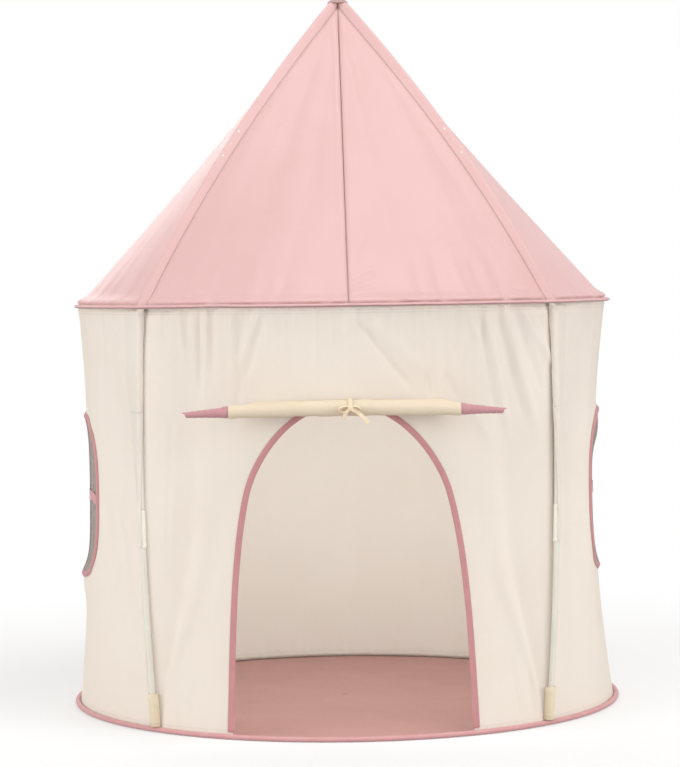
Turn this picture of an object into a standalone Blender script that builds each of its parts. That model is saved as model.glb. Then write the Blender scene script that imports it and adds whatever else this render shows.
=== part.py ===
"""Round castle play tent for children.

A cream wall stands between two sprung hoops, each sewn into a pink piping.
Four jointed poles stand outside the wall, bend over the eave at an elbow and run
up inside sewn channels to the peak of the pink roof. The doorway has a curtain
that is rolled up and tied above it, and each side has a mesh window.

Z is up, the origin is the middle of the floor, and the doorway faces -Y.
All lengths are in metres.
"""

import math

import bmesh
import bpy
from mathutils import Matrix, Vector
from mathutils.geometry import interpolate_bezier

# Cloth and fits
CLOTH = 0.001
TAPE = 0.0008
GAP = 0.0003
HEM_GAP = 0.0008
SEAM_GAP = 0.0007
OVERRUN = 0.02

# Wall, measured on its outer face
WALL_BASE_RADIUS = 0.5155
WALL_WAIST_RADIUS = 0.4895
WALL_TOP_RADIUS = 0.5055
WAIST_HEIGHT = 0.42
EAVE_HEIGHT = 0.7635
WALL_FOLD_DEPTH = 0.005
WALL_CORNER_PULL = 0.020
WALL_TOP_PULL = 0.007

# Roof
PEAK_HEIGHT = 1.328
PEAK_RADIUS = 0.014
ROOF_SAG = 0.005

# Hoops and piping
PIPING_RADIUS = 0.005
HOOP_WIDTH = 0.0022
HOOP_THICKNESS = 0.0012
FLOOR_THICKNESS = 0.0015

# Poles
TUBE_RADIUS = 0.00525
CONNECTOR_WALL = 0.0009
CONNECTOR_LENGTH = 0.067
TUBE_END_GAP = 0.002
ELBOW_LEG = 0.036
ELBOW_BEND = 0.012
FOOT_RADIUS = 0.5213
FOOT_LEAN_ANGLE = math.radians(2.1)
KNEE_RADIUS = 0.5238
KNEE_HEIGHT = 0.760
TIP_RADIUS = 0.016
TIP_HEIGHT = 1.335
WALL_BOW = 0.014
ROOF_BOW = 0.034
MID_JOINT_HEIGHT = 0.3665
ROOF_JOINT_HEIGHT = 1.060
CHANNEL_START_HEIGHT = 0.7725
PEAK_CAP_HEIGHT = 0.011
PEAK_CAP_RADIUS = 0.0205
PEAK_CAP_TOP_RADIUS = 0.0075

# Cloth that holds the poles
SLEEVE_TOP = 0.750
SLEEVE_LENGTH = 0.175
POCKET_LENGTH = 0.060

# Doorway
DOOR_HALF_WIDTH = 0.2145
DOOR_HEIGHT = 0.585
BINDING_WIDTH = 0.009

# Windows
WINDOW_HALF_WIDTH = 0.174
WINDOW_HALF_HEIGHT = 0.1485
WINDOW_CENTRE_HEIGHT = 0.4025
WINDOW_BAR_WIDTH = 0.019

# Rolled door curtain
ROLL_RADIUS = 0.0145
ROLL_END_RADIUS = 0.0115
ROLL_HALF_LENGTH = 0.205
ROLL_TIP_REACH = 0.072
ROLL_RIB_DEPTH = 0.0008
ROLL_HEIGHT = 0.585
CURTAIN_SEAM_HEIGHT = 0.607
CURTAIN_HALF_WIDTH = 0.085
RIBBON_WIDTH = 0.007
RIBBON_THICKNESS = 0.0009
KNOT_RADIUS = 0.0045
BOW_REACH = 0.016
TAIL_REACH = 0.019
TAIL_DROP = 0.030

# Counts and angles
QUARTER_COLUMNS = 12
WALL_ROWS = 8
ROOF_ROWS = 8
WALL_FOLDS = 4
TUBE_SIDES = 10
PIPING_SIDES = 8
QUARTER = math.pi / 2
CORNER = math.pi / 4
CORNERS = {
    "front_left": (-1, -1),
    "front_right": (1, -1),
    "rear_right": (1, 1),
    "rear_left": (-1, 1),
}

# Sizes that follow from the ones above
PIPING_FLAT = PIPING_RADIUS * math.cos(math.pi / PIPING_SIDES)
PIPING_SEAT = GAP + PIPING_FLAT
BASE_PIPING_RADIUS = WALL_BASE_RADIUS + PIPING_SEAT
EAVE_PIPING_RADIUS = WALL_TOP_RADIUS + PIPING_SEAT
FLAT_SHARE = math.cos(math.pi / TUBE_SIDES)
TUBE_BORE = (TUBE_RADIUS + GAP) / FLAT_SHARE
CONNECTOR_RADIUS = TUBE_BORE + CONNECTOR_WALL
CHANNEL_BORE = (CONNECTOR_RADIUS + GAP) / FLAT_SHARE
WALL_BOTTOM = FLOOR_THICKNESS + HEM_GAP
POCKET_BOTTOM = 2 * PIPING_FLAT + GAP
FOOT_HEIGHT = POCKET_BOTTOM + CLOTH + HEM_GAP
LONGEST_STRAIGHT = (KNEE_HEIGHT - FOOT_HEIGHT) / 5
EAVE_BULGE = KNEE_RADIUS + CONNECTOR_RADIUS + PIPING_SEAT - EAVE_PIPING_RADIUS
BINDING_LIFT = GAP + TAPE
CURTAIN_BACK = BINDING_LIFT + GAP


# Scene


def empty_scene():
    for item in list(bpy.data.objects):
        bpy.data.objects.remove(item)


def new_collection(name):
    group = bpy.data.collections.new(name)
    bpy.context.scene.collection.children.link(group)
    return group


def move_to(item, group):
    for owner in list(item.users_collection):
        owner.objects.unlink(item)
    group.objects.link(item)


# Materials


def linear(channel):
    """One sRGB channel, 0 to 255, as the linear value that a shader takes."""
    value = channel / 255
    if value <= 0.04045:
        return value / 12.92
    return ((value + 0.055) / 1.055) ** 2.4


def material(name, colour, roughness, metallic=0.0):
    made = bpy.data.materials.get(name)
    if made:
        return made
    made = bpy.data.materials.new(name)
    made.use_nodes = True
    shader = made.node_tree.nodes["Principled BSDF"]
    shader.inputs["Base Color"].default_value = (*[linear(c) for c in colour], 1.0)
    shader.inputs["Roughness"].default_value = roughness
    shader.inputs["Metallic"].default_value = metallic
    return made


def cream_cloth():
    return material("cream_cloth", (243, 234, 224), 0.85)


def pink_cloth():
    return material("pink_cloth", (240, 200, 199), 0.7)


def pink_piping():
    return material("pink_piping", (206, 150, 155), 0.75)


def floor_cloth():
    return material("floor_cloth", (205, 148, 142), 0.7)


def window_mesh():
    return material("window_mesh", (163, 157, 149), 0.8)


def ribbon_cloth():
    return material("ribbon_cloth", (244, 230, 203), 0.8)


def pole_plastic():
    return material("pole_plastic", (208, 205, 195), 0.45)


def connector_plastic():
    return material("connector_plastic", (238, 236, 224), 0.4)


def hoop_steel():
    return material("hoop_steel", (150, 152, 155), 0.35, 1.0)


# Modelling helpers


def new_object(name, mesh, group):
    item = bpy.data.objects.new(name, mesh)
    group.objects.link(item)
    return item


def mesh_from(bm, name):
    bmesh.ops.recalc_face_normals(bm, faces=bm.faces)
    mesh = bpy.data.meshes.new(name)
    bm.to_mesh(mesh)
    bm.free()
    return mesh


def finish(item, surface, angle=math.radians(40)):
    """Gives a piece its material and shades its round faces smooth."""
    item.data.materials.clear()
    item.data.materials.append(surface)
    item.data.shade_smooth()
    item.data.set_sharp_from_angle(angle=angle)
    return item


def as_cutter(item):
    move_to(item, CUTTERS)
    item.hide_render = True
    item.display_type = "WIRE"
    return item


def boolean(item, other, operation):
    step = item.modifiers.new(operation.lower(), "BOOLEAN")
    step.operation = operation
    step.solver = "EXACT"
    step.object = as_cutter(other)


def draped_grid(name, columns, rows, place):
    """A grid whose unit square is carried by place(u, v) onto the cloth's surface."""
    bm = bmesh.new()
    bmesh.ops.create_grid(bm, x_segments=columns, y_segments=rows, size=1)
    for vert in bm.verts:
        vert.co = place((vert.co.x + 1) / 2, (vert.co.y + 1) / 2)
    bmesh.ops.triangulate(bm, faces=bm.faces, quad_method="FIXED")
    mesh = bpy.data.meshes.new(name)
    bm.to_mesh(mesh)
    bm.free()
    return new_object(name, mesh, PARTS)


def thicken(item, thickness):
    """Gives an open cloth surface its thickness, on the inner side."""
    step = item.modifiers.new("cloth", "SOLIDIFY")
    step.thickness = thickness
    step.offset = -1
    step.use_even_offset = True


def loft(name, rings, closed=False):
    """Skins a row of rings of equally many points; an open row gets flat ends."""
    bm = bmesh.new()
    rows = [[bm.verts.new(point) for point in ring] for ring in rings]
    count = len(rows[0])
    pairs = list(zip(rows, rows[1:]))
    if closed:
        pairs.append((rows[-1], rows[0]))
    for low, high in pairs:
        for i in range(count):
            j = (i + 1) % count
            bm.faces.new((low[i], low[j], high[j], high[i]))
    if not closed:
        bm.faces.new(rows[0])
        bm.faces.new(rows[-1])
    return new_object(name, mesh_from(bm, name), PARTS)


def tube(name, points, radius):
    """A round solid rod along a line of points, made a mesh with welded caps."""
    line = bpy.data.curves.new(name, "CURVE")
    line.dimensions = "3D"
    line.bevel_depth = radius
    line.bevel_resolution = (TUBE_SIDES - 4) // 2
    line.use_fill_caps = True
    spline = line.splines.new("POLY")
    spline.points.add(len(points) - 1)
    for spot, point in zip(spline.points, points):
        spot.co = (*point, 1)
    carrier = new_object(name, line, PARTS)
    bpy.context.view_layer.update()
    view = bpy.context.evaluated_depsgraph_get()
    mesh = bpy.data.meshes.new_from_object(carrier.evaluated_get(view))
    bpy.data.objects.remove(carrier)
    bm = bmesh.new()
    bm.from_mesh(mesh)
    bmesh.ops.remove_doubles(bm, verts=bm.verts, dist=GAP / 10)
    bm.to_mesh(mesh)
    bm.free()
    return new_object(name, mesh, PARTS)


def prism(name, outline, turn, reach):
    """A flat outline (across, up) extruded along its normal, as a cutter.

    It stands in the XZ plane, is turned about Z and reaches from the axis outwards.
    """
    flat = bpy.data.curves.new(name, "CURVE")
    flat.dimensions = "2D"
    flat.fill_mode = "BOTH"
    flat.extrude = reach / 2
    spline = flat.splines.new("POLY")
    spline.points.add(len(outline) - 1)
    for spot, (across, up) in zip(spline.points, outline):
        spot.co = (across, up, 0, 1)
    spline.use_cyclic_u = True
    carrier = new_object(name, flat, PARTS)
    bpy.context.view_layer.update()
    view = bpy.context.evaluated_depsgraph_get()
    mesh = bpy.data.meshes.new_from_object(carrier.evaluated_get(view))
    bpy.data.objects.remove(carrier)
    stand = Matrix.Rotation(turn, 4, "Z") @ Matrix.Rotation(math.pi / 2, 4, "X")
    mesh.transform(stand @ Matrix.Translation((0, 0, reach / 2)))
    bm = bmesh.new()
    bm.from_mesh(mesh)
    bmesh.ops.remove_doubles(bm, verts=bm.verts, dist=GAP / 10)
    bmesh.ops.recalc_face_normals(bm, faces=bm.faces)
    bm.to_mesh(mesh)
    bm.free()
    return as_cutter(new_object(name, mesh, PARTS))


def grown(outline, distance):
    """An outline moved outwards by a distance, each point along its own normal."""
    count = len(outline)
    moved = []
    for i, point in enumerate(outline):
        before = Vector(outline[i - 1])
        after = Vector(outline[(i + 1) % count])
        along = (after - before).normalized()
        moved.append(Vector(point) + Vector((along.y, -along.x)) * distance)
    return moved


def around(radius, angle, height):
    """The point at an angle from the front, counted towards +X."""
    return Vector((radius * math.sin(angle), -radius * math.cos(angle), height))


# Cloth surfaces


def squareness(angle):
    """0 midway between two poles and 1 at a pole: how far the cloth follows them."""
    off_middle = (angle + CORNER) % QUARTER - CORNER
    return (1 / math.cos(off_middle) - 1) / (1 / math.cos(CORNER) - 1)


def wall_radius(angle, height):
    """Outer face of the wall: waisted, pulled out at the poles, softly folded.

    Its foot is round, and its top reaches out a little towards the poles.
    """
    if height < WAIST_HEIGHT:
        share = (WAIST_HEIGHT - height) / WAIST_HEIGHT
        end = WALL_BASE_RADIUS
    else:
        share = (height - WAIST_HEIGHT) / (EAVE_HEIGHT - WAIST_HEIGHT)
        end = WALL_TOP_RADIUS
    plain = WALL_WAIST_RADIUS + (end - WALL_WAIST_RADIUS) * share**1.9
    slack = math.sin(math.pi * min(max(height / EAVE_HEIGHT, 0), 1))
    turn = ((angle + CORNER) % QUARTER) / QUARTER
    fold = (1 - math.cos(2 * math.pi * WALL_FOLDS * turn)) / 2
    pull = slack * WALL_CORNER_PULL
    if height > WAIST_HEIGHT:
        pull += WALL_TOP_PULL * share**2
    return plain + pull * squareness(angle) - slack * WALL_FOLD_DEPTH * fold


def bowed_point(height, corner):
    """The pole's smooth centre line: bowed outwards between foot, knee and tip."""
    side, rear = corner
    outward = Vector((side, rear)).normalized()
    across = Vector((side, -rear)).normalized()
    foot_turn = Vector((math.cos(FOOT_LEAN_ANGLE), math.sin(FOOT_LEAN_ANGLE)))
    foot = FOOT_RADIUS * (outward * foot_turn.x - across * foot_turn.y)
    knee = outward * KNEE_RADIUS
    if height <= KNEE_HEIGHT:
        start, end, bow = foot, knee, WALL_BOW
        share = (height - FOOT_HEIGHT) / (KNEE_HEIGHT - FOOT_HEIGHT)
    else:
        start, end, bow = knee, outward * TIP_RADIUS, ROOF_BOW
        share = (height - KNEE_HEIGHT) / (TIP_HEIGHT - KNEE_HEIGHT)
    plan = start.lerp(end, share) + outward * (4 * share * (1 - share) * bow)
    return Vector((plan.x, plan.y, height))


def bowed_radius(height):
    return bowed_point(height, (1, -1)).to_2d().length


def rise(height, length):
    """The height that a length along the pole covers at a height."""
    change = bowed_radius(height + GAP) - bowed_radius(height)
    return length * GAP / math.hypot(GAP, change)


def pole_knots():
    """Heights where the pole bends a little: every fitting sits on a straight."""
    mid = rise(MID_JOINT_HEIGHT, CONNECTOR_LENGTH / 2)
    low_leg = rise(KNEE_HEIGHT - ELBOW_LEG, ELBOW_LEG)
    high_leg = rise(KNEE_HEIGHT + ELBOW_LEG, ELBOW_LEG)
    roof = rise(ROOF_JOINT_HEIGHT, CONNECTOR_LENGTH / 2)
    firm = [
        FOOT_HEIGHT,
        MID_JOINT_HEIGHT - mid,
        MID_JOINT_HEIGHT + mid,
        KNEE_HEIGHT - low_leg,
        KNEE_HEIGHT,
        KNEE_HEIGHT + high_leg,
        ROOF_JOINT_HEIGHT - roof,
        ROOF_JOINT_HEIGHT + roof,
        TIP_HEIGHT,
    ]
    knots = [firm[0]]
    for low, high in zip(firm, firm[1:]):
        pieces = round((high - low) / LONGEST_STRAIGHT) or 1
        knots += [low + (high - low) * (i + 1) / pieces for i in range(pieces)]
    return knots


def pole_point(height, corner):
    """The pole's centre line as it is built: straight from knot to knot."""
    for low, high in zip(POLE_KNOTS, POLE_KNOTS[1:]):
        if height <= high or high == POLE_KNOTS[-1]:
            share = (height - low) / (high - low)
            return bowed_point(low, corner).lerp(bowed_point(high, corner), share)


def pole_line(low, high, corner):
    """Points along the pole between two heights."""
    inner = [knot for knot in POLE_KNOTS if low + GAP < knot < high - GAP]
    return [pole_point(height, corner) for height in [low, *inner, high]]


def longer_line(line):
    """The same line with a straight overrun at both ends."""
    before = (line[0] - line[1]).normalized() * OVERRUN
    after = (line[-1] - line[-2]).normalized() * OVERRUN
    return [line[0] + before, *line, line[-1] + after]


def roof_radius(angle, height):
    """Outer face of the roof: round at the eave, a four-sided pyramid at the peak.

    Midway between the poles it sags a little below the straight line to the peak,
    and at a pole it meets the middle of the channel that the pole runs in.
    """
    share = (height - EAVE_HEIGHT) / (PEAK_HEIGHT - EAVE_HEIGHT)
    middle = WALL_TOP_RADIUS + (PEAK_RADIUS - WALL_TOP_RADIUS) * share
    middle -= ROOF_SAG * (4 * share * (1 - share)) ** 2
    return middle + (bowed_radius(height) - middle) * squareness(angle)


# Wall


def wall_sheet(name, centre, lift=0.0, thickness=CLOTH):
    """A quarter of the wall, or a layer that follows it at a lift from its face."""

    def place(u, v):
        spread = QUARTER - SEAM_GAP / WALL_TOP_RADIUS
        angle = centre + (u - 0.5) * spread
        height = WALL_BOTTOM + v * (EAVE_HEIGHT - GAP / 2 - WALL_BOTTOM)
        return around(wall_radius(angle, height) + lift, angle, height)

    sheet = draped_grid(name, QUARTER_COLUMNS, WALL_ROWS, place)
    thicken(sheet, thickness)
    return sheet


def binding(name, centre, outline, opening):
    """Tape folded round a cut edge of the wall, as a channel that holds the edge."""
    band = wall_sheet(name, centre, BINDING_LIFT, CLOTH + 2 * BINDING_LIFT)
    reach = WALL_BASE_RADIUS + OVERRUN
    hem = 2 * PIPING_FLAT + GAP
    outside = [Vector((p.x, max(p.y, hem))) for p in grown(outline, BINDING_WIDTH)]
    boolean(band, prism(name + "_outside", outside, centre, reach), "INTERSECT")
    boolean(band, opening, "DIFFERENCE")
    slot = wall_sheet(name + "_slot", centre, GAP, CLOTH + 2 * GAP)
    boolean(slot, prism(name + "_lip", grown(outline, -GAP), centre, reach), "DIFFERENCE")
    boolean(band, slot, "DIFFERENCE")
    return band


# Doorway

DOOR_OUTLINE_SHARES = {
    "foot": (1.0, 0.0),
    "foot_handle": (0.97, 0.25),
    "shoulder_low_handle": (0.96, 0.53),
    "shoulder": (0.82, 0.735),
    "shoulder_high_handle": (0.735, 0.855),
    "top_handle": (0.42, 1.008),
    "top": (0.0, 1.008),
}
DOOR_CURVE_POINTS = 9


def door_outline():
    """The doorway seen from the front, anticlockwise from its right foot."""
    spot = {}
    for name, (across, up) in DOOR_OUTLINE_SHARES.items():
        spot[name] = Vector((across * DOOR_HALF_WIDTH, up * DOOR_HEIGHT))
    side = interpolate_bezier(
        spot["foot"],
        spot["foot_handle"],
        spot["shoulder_low_handle"],
        spot["shoulder"],
        DOOR_CURVE_POINTS,
    )
    arch = interpolate_bezier(
        spot["shoulder"],
        spot["shoulder_high_handle"],
        spot["top_handle"],
        spot["top"],
        DOOR_CURVE_POINTS,
    )
    right = side + arch[1:-1]
    below = Vector((right[0].x, -OVERRUN))
    right.insert(0, below)
    left = [Vector((-point.x, point.y)) for point in reversed(right)]
    return right + left


def make_front_wall():
    wall = wall_sheet("wall_front", 0)
    reach = WALL_BASE_RADIUS + OVERRUN
    boolean(wall, prism("door_cut", door_outline(), 0, reach), "DIFFERENCE")
    finish(wall, cream_cloth())


def make_door_binding():
    edge = door_outline()
    reach = WALL_BASE_RADIUS + OVERRUN
    doorway = prism("door_binding_inside", grown(edge, -BINDING_LIFT), 0, reach)
    finish(binding("door_binding", 0, edge, doorway), pink_piping())


# Windows

WINDOW_POINTS = 28
WINDOW_SQUARENESS = 3.2


def window_outline():
    """The window seen from its side: a rounded rectangle, as a superellipse."""
    points = []
    for i in range(WINDOW_POINTS):
        turn = 2 * math.pi * (i + 0.5) / WINDOW_POINTS
        across = math.copysign(abs(math.cos(turn)) ** (2 / WINDOW_SQUARENESS), math.cos(turn))
        up = math.copysign(abs(math.sin(turn)) ** (2 / WINDOW_SQUARENESS), math.sin(turn))
        height = WINDOW_CENTRE_HEIGHT + WINDOW_HALF_HEIGHT * up
        points.append(Vector((WINDOW_HALF_WIDTH * across, height)))
    return points


def bar_outline(half_width, low, high):
    return [
        Vector((half_width, low)),
        Vector((half_width, high)),
        Vector((-half_width, high)),
        Vector((-half_width, low)),
    ]


def make_side_wall(side, centre):
    wall = wall_sheet("wall_" + side, centre)
    reach = WALL_BASE_RADIUS + OVERRUN
    cut = prism("window_cut_" + side, window_outline(), centre, reach)
    boolean(wall, cut, "DIFFERENCE")
    finish(wall, cream_cloth())


def make_window_mesh(side, centre):
    """The mesh pane, cut to drop into the binding."""
    pane = wall_sheet("window_mesh_" + side, centre)
    reach = WALL_BASE_RADIUS + OVERRUN
    edge = grown(window_outline(), -BINDING_LIFT - GAP)
    boolean(pane, prism("pane_cut_" + side, edge, centre, reach), "INTERSECT")
    finish(pane, window_mesh())


def make_window_trim(side, centre):
    """The binding round the window, with the tape cross that is sewn to it."""
    name = "window_trim_" + side
    reach = WALL_BASE_RADIUS + OVERRUN
    edge = window_outline()
    half = WINDOW_BAR_WIDTH / 2
    middle = WINDOW_CENTRE_HEIGHT
    upright = bar_outline(half, middle - WINDOW_HALF_WIDTH, middle + WINDOW_HALF_WIDTH)
    level = bar_outline(WINDOW_HALF_WIDTH, middle - half, middle + half)
    lights = prism(name + "_lights", grown(edge, -BINDING_LIFT), centre, reach)
    for bar, outline in (("_upright", upright), ("_level", level)):
        boolean(lights, prism(name + bar, outline, centre, reach + OVERRUN), "DIFFERENCE")
    trim = binding(name, centre, edge, lights)
    back = wall_sheet(name + "_back", centre, GAP, CLOTH + 2 * BINDING_LIFT)
    inner = grown(edge, -BINDING_LIFT - GAP / 2)
    boolean(back, prism(name + "_inner", inner, centre, reach), "INTERSECT")
    boolean(trim, back, "DIFFERENCE")
    finish(trim, pink_piping())


# Roof


def make_roof_gore(place_name, corner, centre):
    """A quarter of the roof with a pole channel sewn down its middle."""

    def place(u, v):
        low = EAVE_HEIGHT + CLOTH
        height = low + v * (PEAK_HEIGHT - low)
        spread = QUARTER - SEAM_GAP / roof_radius(0, height)
        angle = centre + (u - 0.5) * spread
        return around(roof_radius(angle, height), angle, height)

    gore = draped_grid("roof_" + place_name, QUARTER_COLUMNS, ROOF_ROWS, place)
    thicken(gore, CLOTH)
    line = pole_line(CHANNEL_START_HEIGHT, PEAK_HEIGHT, corner)
    boolean(gore, tube("channel_" + place_name, line, CHANNEL_BORE + CLOTH), "UNION")
    path = elbow_line(corner) + line[2:]
    bore = tube("bore_" + place_name, longer_line(path), CHANNEL_BORE)
    boolean(gore, bore, "DIFFERENCE")
    finish(gore, pink_cloth())


def make_peak_cap():
    """The stitched tip that the four pole ends push up against."""
    lean = math.sqrt(1 - rise(TIP_HEIGHT, 1) ** 2)
    bottom = TIP_HEIGHT + TUBE_RADIUS * lean + GAP
    bpy.ops.mesh.primitive_cone_add(
        vertices=TUBE_SIDES * 2,
        radius1=PEAK_CAP_RADIUS,
        radius2=PEAK_CAP_TOP_RADIUS,
        depth=PEAK_CAP_HEIGHT,
        location=(0, 0, bottom + PEAK_CAP_HEIGHT / 2),
    )
    cap = bpy.context.object
    cap.name = "peak_cap"
    move_to(cap, PARTS)
    finish(cap, pink_cloth())


# Floor, hoops and piping


def make_floor():
    bpy.ops.mesh.primitive_cylinder_add(
        vertices=QUARTER_COLUMNS * 4,
        radius=WALL_BASE_RADIUS,
        depth=FLOOR_THICKNESS,
        location=(0, 0, FLOOR_THICKNESS / 2),
    )
    floor = bpy.context.object
    floor.name = "floor_sheet"
    move_to(floor, PARTS)
    finish(floor, floor_cloth())


def ring(name, section, bulge):
    """A closed ring of (radius, height) points that bulges out round the poles."""
    stations = QUARTER_COLUMNS * 4
    rings = []
    for i in range(stations):
        angle = 2 * math.pi * i / stations
        out = bulge * squareness(angle)
        rings.append([around(radius + out, angle, height) for radius, height in section])
    return loft(name, rings, closed=True)


def piping_section(ring_radius, height):
    """Cloth folded round a hoop, open on its inner side where the seam enters."""
    step = 2 * math.pi / PIPING_SIDES
    turns = [step * (i + 0.5) - math.pi for i in range(PIPING_SIDES)]
    outer = [(math.cos(t), math.sin(t), PIPING_RADIUS) for t in turns]
    inner = [(math.cos(t), math.sin(t), PIPING_RADIUS - CLOTH) for t in reversed(turns)]
    return [(ring_radius + c * r, height + s * r) for c, s, r in outer + inner]


def hoop_section(ring_radius, height):
    """A flat spring-steel strip that lies against the outer side of its piping."""
    bore = (PIPING_RADIUS - CLOTH) * math.cos(math.pi / PIPING_SIDES)
    outer = ring_radius + bore - GAP
    inner = outer - HOOP_THICKNESS
    low, high = height - HOOP_WIDTH / 2, height + HOOP_WIDTH / 2
    return [(inner, low), (outer, low), (outer, high), (inner, high)]


def make_hoops():
    places = (
        ("base", BASE_PIPING_RADIUS, PIPING_FLAT, 0),
        ("eave", EAVE_PIPING_RADIUS, EAVE_HEIGHT, EAVE_BULGE),
    )
    for name, ring_radius, height, bulge in places:
        piping = ring(name + "_piping", piping_section(ring_radius, height), bulge)
        finish(piping, pink_piping())
        hoop = ring(name + "_hoop", hoop_section(ring_radius, height), bulge)
        finish(hoop, hoop_steel())


# Poles


def make_pole_tubes(place_name, corner):
    """Four equal-bore tubes, each pushed into a connector or the elbow."""
    gap = TUBE_END_GAP / 2
    roof_gap = rise(ROOF_JOINT_HEIGHT, gap)
    bend = ELBOW_BEND + TUBE_END_GAP
    stretches = (
        ("lower_tube", FOOT_HEIGHT, MID_JOINT_HEIGHT - gap),
        ("upper_tube", MID_JOINT_HEIGHT + gap, KNEE_HEIGHT - bend),
        ("roof_lower_tube", KNEE_HEIGHT + bend, ROOF_JOINT_HEIGHT - roof_gap),
        ("roof_upper_tube", ROOF_JOINT_HEIGHT + roof_gap, TIP_HEIGHT),
    )
    for name, low, high in stretches:
        line = pole_line(low, high, corner)
        rod = tube("pole_" + place_name + "_" + name, line, TUBE_RADIUS)
        finish(rod, pole_plastic())


def make_pole_connectors(place_name, corner):
    """Straight plastic sleeves over the tube ends, at mid wall and mid roof."""
    for name, height in (("mid_connector", MID_JOINT_HEIGHT), ("roof_connector", ROOF_JOINT_HEIGHT)):
        half = rise(height, CONNECTOR_LENGTH / 2)
        line = pole_line(height - half, height + half, corner)
        sleeve = tube("pole_" + place_name + "_" + name, line, CONNECTOR_RADIUS)
        bore = tube(sleeve.name + "_bore", longer_line(line), TUBE_BORE)
        boolean(sleeve, bore, "DIFFERENCE")
        finish(sleeve, connector_plastic())


def elbow_line(corner):
    """The elbow's centre line: two straight legs joined by a rounded bend."""
    foot = pole_point(KNEE_HEIGHT - rise(KNEE_HEIGHT - ELBOW_LEG, ELBOW_LEG), corner)
    head = pole_point(KNEE_HEIGHT + rise(KNEE_HEIGHT + ELBOW_LEG, ELBOW_LEG), corner)
    knee = pole_point(KNEE_HEIGHT, corner)
    low = knee + (foot - knee).normalized() * ELBOW_BEND
    high = knee + (head - knee).normalized() * ELBOW_BEND
    bend = interpolate_bezier(low, low.lerp(knee, 0.6), high.lerp(knee, 0.6), high, 5)
    return [foot, *bend, head]


def make_pole_elbow(place_name, corner):
    line = elbow_line(corner)
    elbow = tube("pole_" + place_name + "_eave_elbow", line, CONNECTOR_RADIUS)
    bore = tube(elbow.name + "_bore", longer_line(line), TUBE_BORE)
    boolean(elbow, bore, "DIFFERENCE")
    finish(elbow, connector_plastic())


# Sleeves and foot pockets

HOLDER_ARC_POINTS = 7


def holder_ring(height, corner, half_width, back_lift):
    """A D-shaped section round the pole, with its flat back against the wall."""
    centre = pole_point(height, corner)
    outward = Vector((centre.x, centre.y, 0)).normalized()
    across = Vector((-outward.y, outward.x, 0))
    angle = math.atan2(centre.x, -centre.y)
    to_wall = centre.to_2d().length - wall_radius(angle, height) - back_lift
    points = []
    for i in range(HOLDER_ARC_POINTS):
        turn = math.pi * (i / (HOLDER_ARC_POINTS - 1) - 0.5)
        points.append(centre + half_width * (outward * math.cos(turn) + across * math.sin(turn)))
    points.append(centre + across * half_width - outward * to_wall)
    points.append(centre - across * half_width - outward * to_wall)
    return points


def holder(name, corner, low, high, floor_thickness):
    """A loop of wall cloth round the pole; with a floor it is a pocket."""
    bore = CHANNEL_BORE
    middle = low + (high - low) / 2
    rings = [holder_ring(height, corner, bore + CLOTH, GAP) for height in (low, middle, high)]
    body = loft(name, rings)
    if floor_thickness:
        hollow_low = low + floor_thickness
    else:
        hollow_low = low - OVERRUN
    hollow = [
        holder_ring(height, corner, bore, -OVERRUN)
        for height in (hollow_low, middle, high + OVERRUN / 4)
    ]
    boolean(body, loft(name + "_hollow", hollow), "DIFFERENCE")
    finish(body, ribbon_cloth())


def make_pole_holders(place_name, corner):
    holder("sleeve_" + place_name, corner, SLEEVE_TOP - SLEEVE_LENGTH, SLEEVE_TOP, 0)
    holder("foot_pocket_" + place_name, corner, POCKET_BOTTOM, POCKET_BOTTOM + POCKET_LENGTH, CLOTH)


# Rolled door curtain

ROLL_STEPS = 20
ROLL_RIBS = 6


def curtain_face():
    """How far in front of the axis the hanging curtain's front face lies."""
    return wall_radius(0, CURTAIN_SEAM_HEIGHT) + CURTAIN_BACK + CLOTH


def roll_centre():
    return Vector((0, -(curtain_face() + GAP + ROLL_RADIUS), ROLL_HEIGHT))


def turned(name, profile, surface):
    """A profile of (along, radius) points turned about the roll's own axis."""
    bm = bmesh.new()
    verts = [bm.verts.new((radius, 0, -along)) for along, radius in profile]
    for first, second in zip(verts, verts[1:]):
        bm.edges.new((first, second))
    mesh = bpy.data.meshes.new(name)
    bm.to_mesh(mesh)
    bm.free()
    item = new_object(name, mesh, PARTS)
    item.matrix_world = Matrix.Translation(roll_centre()) @ Matrix.Rotation(-math.pi / 2, 4, "Y")
    screw = item.modifiers.new("turn", "SCREW")
    screw.steps = ROLL_STEPS
    screw.render_steps = ROLL_STEPS
    screw.use_merge_vertices = True
    screw.merge_threshold = 0.0001
    return finish(item, surface)


def make_roll():
    """The curtain rolled up: thickest in the middle, drawn in towards its ends."""
    half = ROLL_HALF_LENGTH
    profile = [
        (-half, 0),
        (-half, ROLL_END_RADIUS),
        (-half / 2, (ROLL_RADIUS + ROLL_END_RADIUS) / 2),
        (0, ROLL_RADIUS),
        (half / 2, (ROLL_RADIUS + ROLL_END_RADIUS) / 2),
        (half, ROLL_END_RADIUS),
        (half, 0),
    ]
    turned("door_roll", profile, ribbon_cloth())


def make_roll_end(side, sign):
    """The curtain's bound edge, which spirals out of the roll as a ribbed cone."""
    base = ROLL_END_RADIUS - 2 * CLOTH
    start = ROLL_HALF_LENGTH + GAP
    pitch = ROLL_TIP_REACH / ROLL_RIBS
    profile = [(start, 0), (start, base)]
    for i in range(ROLL_RIBS):
        wide = base * (1 - (i + 0.5) / (ROLL_RIBS + 0.5))
        profile.append((start + (i + 0.5) * pitch, wide + ROLL_RIB_DEPTH))
        if i < ROLL_RIBS - 1:
            profile.append((start + (i + 1) * pitch, wide - ROLL_RIB_DEPTH))
    profile.append((start + ROLL_TIP_REACH, 0))
    if sign < 0:
        profile = [(-along, radius) for along, radius in reversed(profile)]
    turned("roll_end_" + side, profile, pink_piping())


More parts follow.
